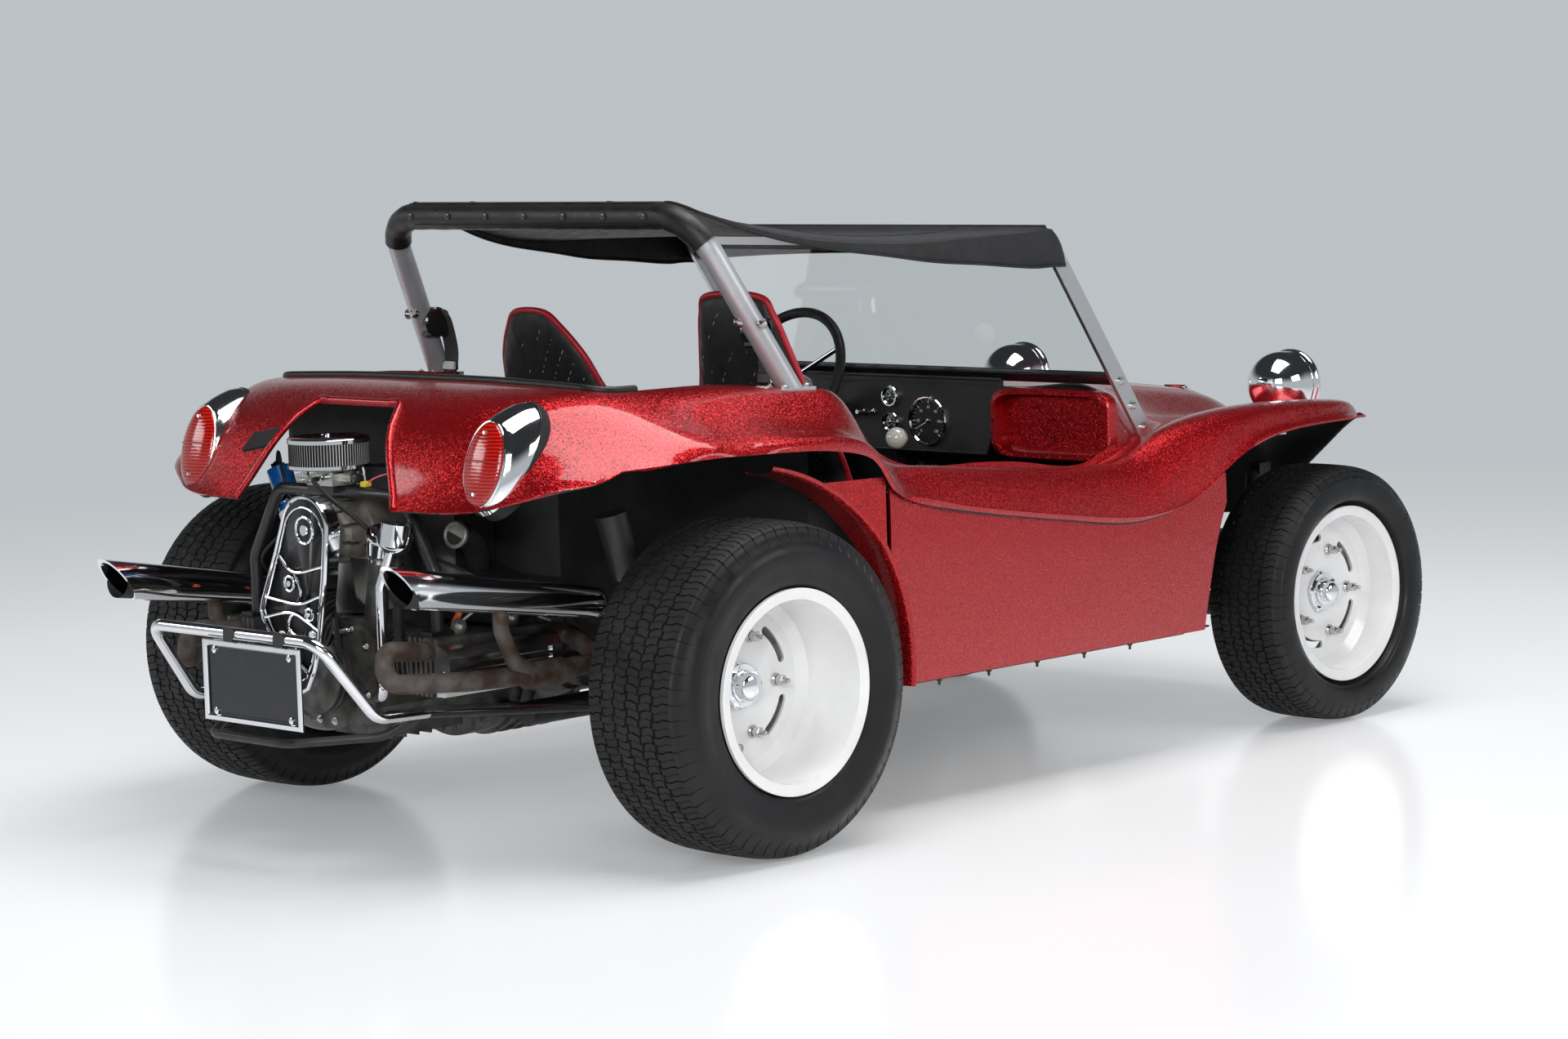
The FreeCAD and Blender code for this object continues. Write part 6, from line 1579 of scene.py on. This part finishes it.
def carburettor_details():
    """Screws, choke cap, linkage, spring, fuel union and the small wires."""
    form = Form()
    x = -440.0
    y = 32.0
    base = MANIFOLD_TOP
    for sx in (-28, 28):
        for sy in (-40, 8):
            form.turned([(0, 5), (3, 5), (4.5, 3), (4.5, 0)], (x + sx, y + sy, base + 26), UP, 14, 0)
    form.turned([(0, 15), (6, 17), (13, 17), (15, 14), (15, 0)], (x + 4, y - 78, base + 18), -LEFT, 36, 1)
    for angle in (0.0, 2.1, 4.2):
        screw = Vector((x + 4 + 13 * math.cos(angle), y - 90, base + 18 + 13 * math.sin(angle)))
        form.rod(screw, screw - LEFT * 5, 2.4, 0, 10)
    form.slab([(x - 40, y + 22, base + 4), (x - 40, y + 62, base + 10), (x - 40, y + 66, base + 22),
               (x - 40, y + 40, base + 28), (x - 40, y + 20, base + 20)], FORWARD * 3)
    spring = [(x - 44 + 4.5 * math.cos(t * 5), y + 10 + 3.4 * t, base + 12 + 4.5 * math.sin(t * 5))
              for t in np.linspace(0, 12, 150)]
    form.pipe(spring, 0.9, 0, 6)
    form.turned([(0, 6), (10, 6), (10, 4), (22, 4), (22, 0)],
                (x - 36, y - 34, base + 20), (-1, 0, 0.1), 18, 2)
    form.nut((x - 44, y - 34, base + 20), (-1, 0, 0.1), 7, 8, 2, washer=False)
    form.pipe(smooth_line([(x - 58, y - 34, base + 19), (x - 74, y - 40, base + 14),
                           (x - 70, y - 90, base - 20), (x - 30, y - 150, base - 80),
                           (x + 40, y - 160, base - 170)], 40), 5.0, 3, 12)
    form.piece("carburettor_details", [STEEL, GLOSS_BLACK, POLISHED, RUBBER])
    wires = Form()
    plug = Vector((x + 2, y - 112, base + 6))
    wires.block(plug - Vector((10, 8, 6)), plug + Vector((10, 8, 6)), 0, 2)
    wires.pipe(smooth_line([plug, plug + Vector((6, -26, 14)), plug + Vector((26, -64, 26)),
                            plug + Vector((150, -92, 44)), plug + Vector((230, -60, 20))], 30), 1.7, 1, 8)
    wires.pipe(smooth_line([plug, plug + Vector((-8, -6, 22)), plug + Vector((-4, 2, 34)),
                            plug + Vector((8, 12, 22)), plug + Vector((10, 30, 14))], 30), 1.7, 2, 8)
    wires.piece("carburettor_wires", [WIRE_YELLOW, WIRE_PINK, WIRE_WHITE])


def plug_connectors():
    """Pale rounded caps over the right-hand plugs, with the leads above the valve cover."""
    form = Form()
    for x in PLUG_PLACES:
        form.turned([(0, 14), (3, 16), (12, 16), (22, 13), (27, 8), (28, 0)],
                    (x, -300, 470), (-0.3, -0.7, 0.7), 28, 0)
    form.pipe(smooth_line([(-255, -318, 492), (-262, -352, 520), (-236, -366, 486), (-190, -350, 470)], 26),
              2.6, 1, 8)
    form.pipe(smooth_line([(-395, -318, 492), (-372, -330, 508), (-320, -320, 508), (-262, -316, 494)], 24),
              2.6, 1, 8)
    form.piece("plug_connectors", [ZINC, WIRE_WHITE])


def engine_bolts():
    """Case and pulley bolts, and the round hose end beside the shroud."""
    form = Form()
    back = -FORWARD
    form.nut((-533, 0, CRANK_Z), back, 15, 12)
    form.nut((-533, 0, ALTERNATOR_Z), back, 11, 10, 0, 4)
    for side in (-1, 1):
        for y, z in ((100, 330), (100, 430), (54, 462)):
            form.nut((-471, side * y, z), back, 6.5, 6, 0, 4)
        for x in (-470, -334, -198):
            form.nut((x, side * 381, 385), LEFT * side, 5, 5, 0, 2)
    for angle in turns(4):
        y = 34 * math.cos(angle + 0.8)
        z = CRANK_Z - 78 + 34 * math.sin(angle + 0.8)
        form.nut((-497, y, z), back, 5.5, 5, 0, 3)
    form.piece("engine_bolts", STEEL)
    hose = Form()
    mouth = Vector((-350, -250, 655))
    line = smooth_line([mouth, (-300, -236, 640), (-262, -214, 600), (-250, -196, 560)], 24)
    hose.pipe(line, 26, 0, 28)
    hose.turned([(0, 0), (0, 20), (-3, 25), (-1, 28), (6, 28), (10, 26)], mouth, line[3] - line[0], 32, 1)
    hose.piece("heater_hose", [RUBBER, CAST])


TAIL_PIPE_Y = 462.0
LEFT_PIPE_DROP = 42.0


def muffler_linings():
    """Dark bore inside each slash-cut tail pipe."""
    form = Form()
    for y, drop in ((TAIL_PIPE_Y, LEFT_PIPE_DROP), (-TAIL_PIPE_Y, 0.0)):
        start = Vector((-520, y, 568.0 - drop))
        end = Vector((-672, y, 592.6 - drop))
        form.turned([(0, 0), (0, 35.2), ((end - start).length, 37.2)], start, end - start, 48, 0)
    form.piece("tail_pipe_bores", INNER_BLACK)


LOUVRES = 6


def vent_louvres():
    """Small black louvre let into the tail beside the engine opening."""
    corner = Vector((0, 284, 809))
    along = Vector((0, -88, 15))
    up = Vector((0, -28, 43))

    def on_skin(a, b, out):
        spot = corner + along * a + up * b
        hit = tail_skin(spot.y, spot.z)
        return hit - FORWARD * out + UP * (out * 0.5)

    form = Form()
    rows = [[on_skin(a, b, 0.7) for a in np.linspace(0, 1, 7)] for b in (0.0, 0.5, 1.0)]
    form.grid(rows)
    wide = 0.6 / LOUVRES
    for k in range(LOUVRES):
        a = (k + 0.15) / LOUVRES
        rows = [[on_skin(a, b, 1.0), on_skin(a, b, 7.0), on_skin(a + wide, b, 2.0), on_skin(a + wide, b, 0.8)]
                for b in (0.06, 0.35, 0.65, 0.94)]
        form.grid(rows, round_points=True)
    form.piece("tail_vent", RUBBER)


PAN_BOLT_Y = 622.0
PAN_FOOT = 266.4


def pan_bolts():
    """Bolt ends that hang below the floor's edge along each side."""
    form = Form()
    for x in range(520, 1321, 160):
        form.turned([(0, 0), (0, 9), (-2, 9), (-2, 0)], (x, PAN_BOLT_Y, PAN_FOOT), UP, 18, 0)
        form.nut((x, PAN_BOLT_Y, PAN_FOOT - 1.8), -UP, 6.5, 7, 0, 9, washer=False)
    form.mirror()
    form.piece("pan_bolts", DARK_STEEL)


PLATE_MIDDLE_Y = -80.0
PLATE_MIDDLE_Z = 384.0


def plate_details():
    """Plated frame round the blank plate, with its four screws."""
    form = Form()
    rear = from_axle(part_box("licence_plate")[0]).x
    rows = []
    for depth, inset in ((0.6, 0.0), (-3.0, 1.5), (-3.0, 10.0), (0.2, 13.0)):
        rows.append([(rear + depth, PLATE_MIDDLE_Y + y * (156 - inset), PLATE_MIDDLE_Z + z * (82 - inset))
                     for y, z in ((-1, -1), (1, -1), (1, 1), (-1, 1))])
    form.grid(rows, 0, round_points=True)
    for y in (-120, 120):
        for z in (-62, 62):
            form.turned([(2, 0), (2, 7), (-1, 7), (-2.5, 4.5), (-2.5, 0)],
                        (rear, PLATE_MIDDLE_Y + y, PLATE_MIDDLE_Z + z), FORWARD, 20, 0)
    form.piece("plate_frame", CHROME)


# Studio

BACKDROP = (0.50, 0.535, 0.555, 1.0)
FLOOR_RADIUS = 60.0


def either(made, first, second):
    """1 where at least one of two values is 1."""
    larger = node(made, "ShaderNodeMath", operation="MAXIMUM")
    join(made, first, larger.inputs[0])
    join(made, second, larger.inputs[1])
    return larger.outputs["Value"]


def studio_floor():
    """Pale glossy floor that fades into the backdrop's colour well away from the car."""
    made = shader("studio_floor", (0.80, 0.80, 0.81), 0.17)
    tuned(made, Specular_IOR_Level=0.45)
    where = node(made, "ShaderNodeTexCoord")
    length = node(made, "ShaderNodeVectorMath", operation="LENGTH")
    path = node(made, "ShaderNodeLightPath")
    lift = node(made, "ShaderNodeEmission", Color=(0.97, 0.985, 1.0, 1.0))
    lifted = node(made, "ShaderNodeAddShader")
    glow = node(made, "ShaderNodeEmission", Color=BACKDROP)
    mix = node(made, "ShaderNodeMixShader")
    seen = either(made, path.outputs["Is Camera Ray"], path.outputs["Is Glossy Ray"])
    join(made, where.outputs["Object"], length.inputs[0])
    join(made, spread(made, seen, 0.0, 0.22, 0.0, 1.0), lift.inputs["Strength"])
    join(made, surface_of(made).outputs["BSDF"], lifted.inputs[0])
    join(made, lift.outputs["Emission"], lifted.inputs[1])
    join(made, spread(made, length.outputs["Value"], 0.0, 1.0, 3.4, 7.5), mix.inputs["Fac"])
    join(made, lifted.outputs["Shader"], mix.inputs[1])
    join(made, glow.outputs["Emission"], mix.inputs[2])
    join(made, mix.outputs["Shader"], made.node_tree.nodes["Material Output"].inputs["Surface"])
    mesh = bpy.data.meshes.new("studio_floor")
    ring = [(FLOOR_RADIUS * math.cos(t), FLOOR_RADIUS * math.sin(t), 0) for t in turns(96)]
    mesh.from_pydata(ring, [], [tuple(range(len(ring)))])
    mesh.materials.append(made)
    placed("studio_floor", mesh)


def studio_world():
    """Grey walls that darken overhead, as seen and reflected, and a faint even fill for the rest."""
    world = bpy.data.worlds.new("studio")
    bpy.context.scene.world = world
    world.use_nodes = True
    seen = world.node_tree.nodes["Background"]
    direction = node(world, "ShaderNodeTexCoord")
    parts = node(world, "ShaderNodeSeparateXYZ")
    walls = node(world, "ShaderNodeMix", data_type="RGBA", A=BACKDROP, B=(0.032, 0.034, 0.037, 1.0))
    fill = node(world, "ShaderNodeBackground", Color=(0.95, 0.97, 1.0, 1.0), Strength=0.25)
    path = node(world, "ShaderNodeLightPath")
    blend = node(world, "ShaderNodeMixShader")
    join(world, direction.outputs["Generated"], parts.inputs["Vector"])
    join(world, spread(world, parts.outputs["Z"], 0.0, 1.0, 0.10, 0.46, "SMOOTHSTEP"), walls.inputs["Factor"])
    join(world, walls.outputs["Result"], seen.inputs["Color"])
    direct = either(world, path.outputs["Is Camera Ray"], path.outputs["Is Glossy Ray"])
    join(world, either(world, direct, path.outputs["Is Transmission Ray"]), blend.inputs["Fac"])
    join(world, fill.outputs["Background"], blend.inputs[1])
    join(world, seen.outputs["Background"], blend.inputs[2])
    join(world, blend.outputs["Shader"], world.node_tree.nodes["World Output"].inputs["Surface"])


def lamp(name, spot, towards, size, power):
    """Soft lamp aimed at a point."""
    light = bpy.data.lights.new(name, "AREA")
    light.shape = "RECTANGLE"
    light.size, light.size_y = size
    light.energy = power
    made = placed(name, light)
    made.location = spot
    made.rotation_mode = "QUATERNION"
    made.rotation_quaternion = (Vector(towards) - Vector(spot)).to_track_quat("-Z", "Y")


def lights():
    """Four soft lamps and one small hard one near the camera."""
    lamp("overhead", (0.0, -0.9, 4.3), (-0.1, 0.0, 0.4), (3.8, 2.2), 165.0)
    lamp("camera_side", (-4.6, -4.0, 2.7), (-0.4, 0.0, 0.6), (2.8, 1.9), 105.0)
    lamp("right_side", (1.8, -5.2, 2.6), (0.5, 0.0, 0.5), (2.8, 1.4), 62.0)
    lamp("left_rear", (-4.4, 3.4, 2.6), (-0.6, 0.0, 0.7), (2.4, 1.2), 46.0)
    lamp("flash", (-5.6, -4.6, 2.2), (-0.8, -0.2, 0.6), (0.24, 0.24), 60.0)


FOCAL_PIXELS = 4863.0
CAMERA_PLACE = (-5552, -6344, 1518)
CAMERA_YAW = 44.75
CAMERA_PITCH = -6.09
CAMERA_ROLL = -1.69


def camera():
    """Camera of the photograph: behind the car on its right, a little above the roof's height."""
    yaw = math.radians(CAMERA_YAW)
    pitch = math.radians(CAMERA_PITCH)
    roll = math.radians(CAMERA_ROLL)
    ahead = Vector((math.cos(yaw) * math.cos(pitch), math.sin(yaw) * math.cos(pitch), math.sin(pitch)))
    level = ahead.cross(UP).normalized()
    above = level.cross(ahead)
    right = level * math.cos(roll) + above * math.sin(roll)
    up = above * math.cos(roll) - level * math.sin(roll)
    data = bpy.data.cameras.new("photograph")
    data.sensor_width = 36.0
    data.lens = FOCAL_PIXELS / IMAGE_WIDTH * data.sensor_width
    data.clip_end = 200.0
    made = placed("photograph", data)
    facing = Matrix((right, up, -ahead)).transposed().to_4x4()
    made.matrix_world = Matrix.Translation(at(*CAMERA_PLACE)) @ facing
    bpy.context.scene.camera = made


SKIN = skin_tree(nodes["body_shell"].data)

bpy.context.scene.view_settings.view_transform = "Standard"
camera()
studio_floor()
studio_world()
lights()
finish_frame()
body_skin()
well_liner()
engine_lip()
arch_flange()
tyres()
wheel_centres()
headlamps()
tail_lamps()
canopy()
seats()
dashboard()
screen_fixings()
hoop_fixings()
belts()
belt_guard()
air_cleaner()
breather()
distributor()
coil_details()
carburettor_details()
plug_connectors()
engine_bolts()
muffler_linings()
vent_louvres()
pan_bolts()
plate_details()

bpy.context.view_layer.update()
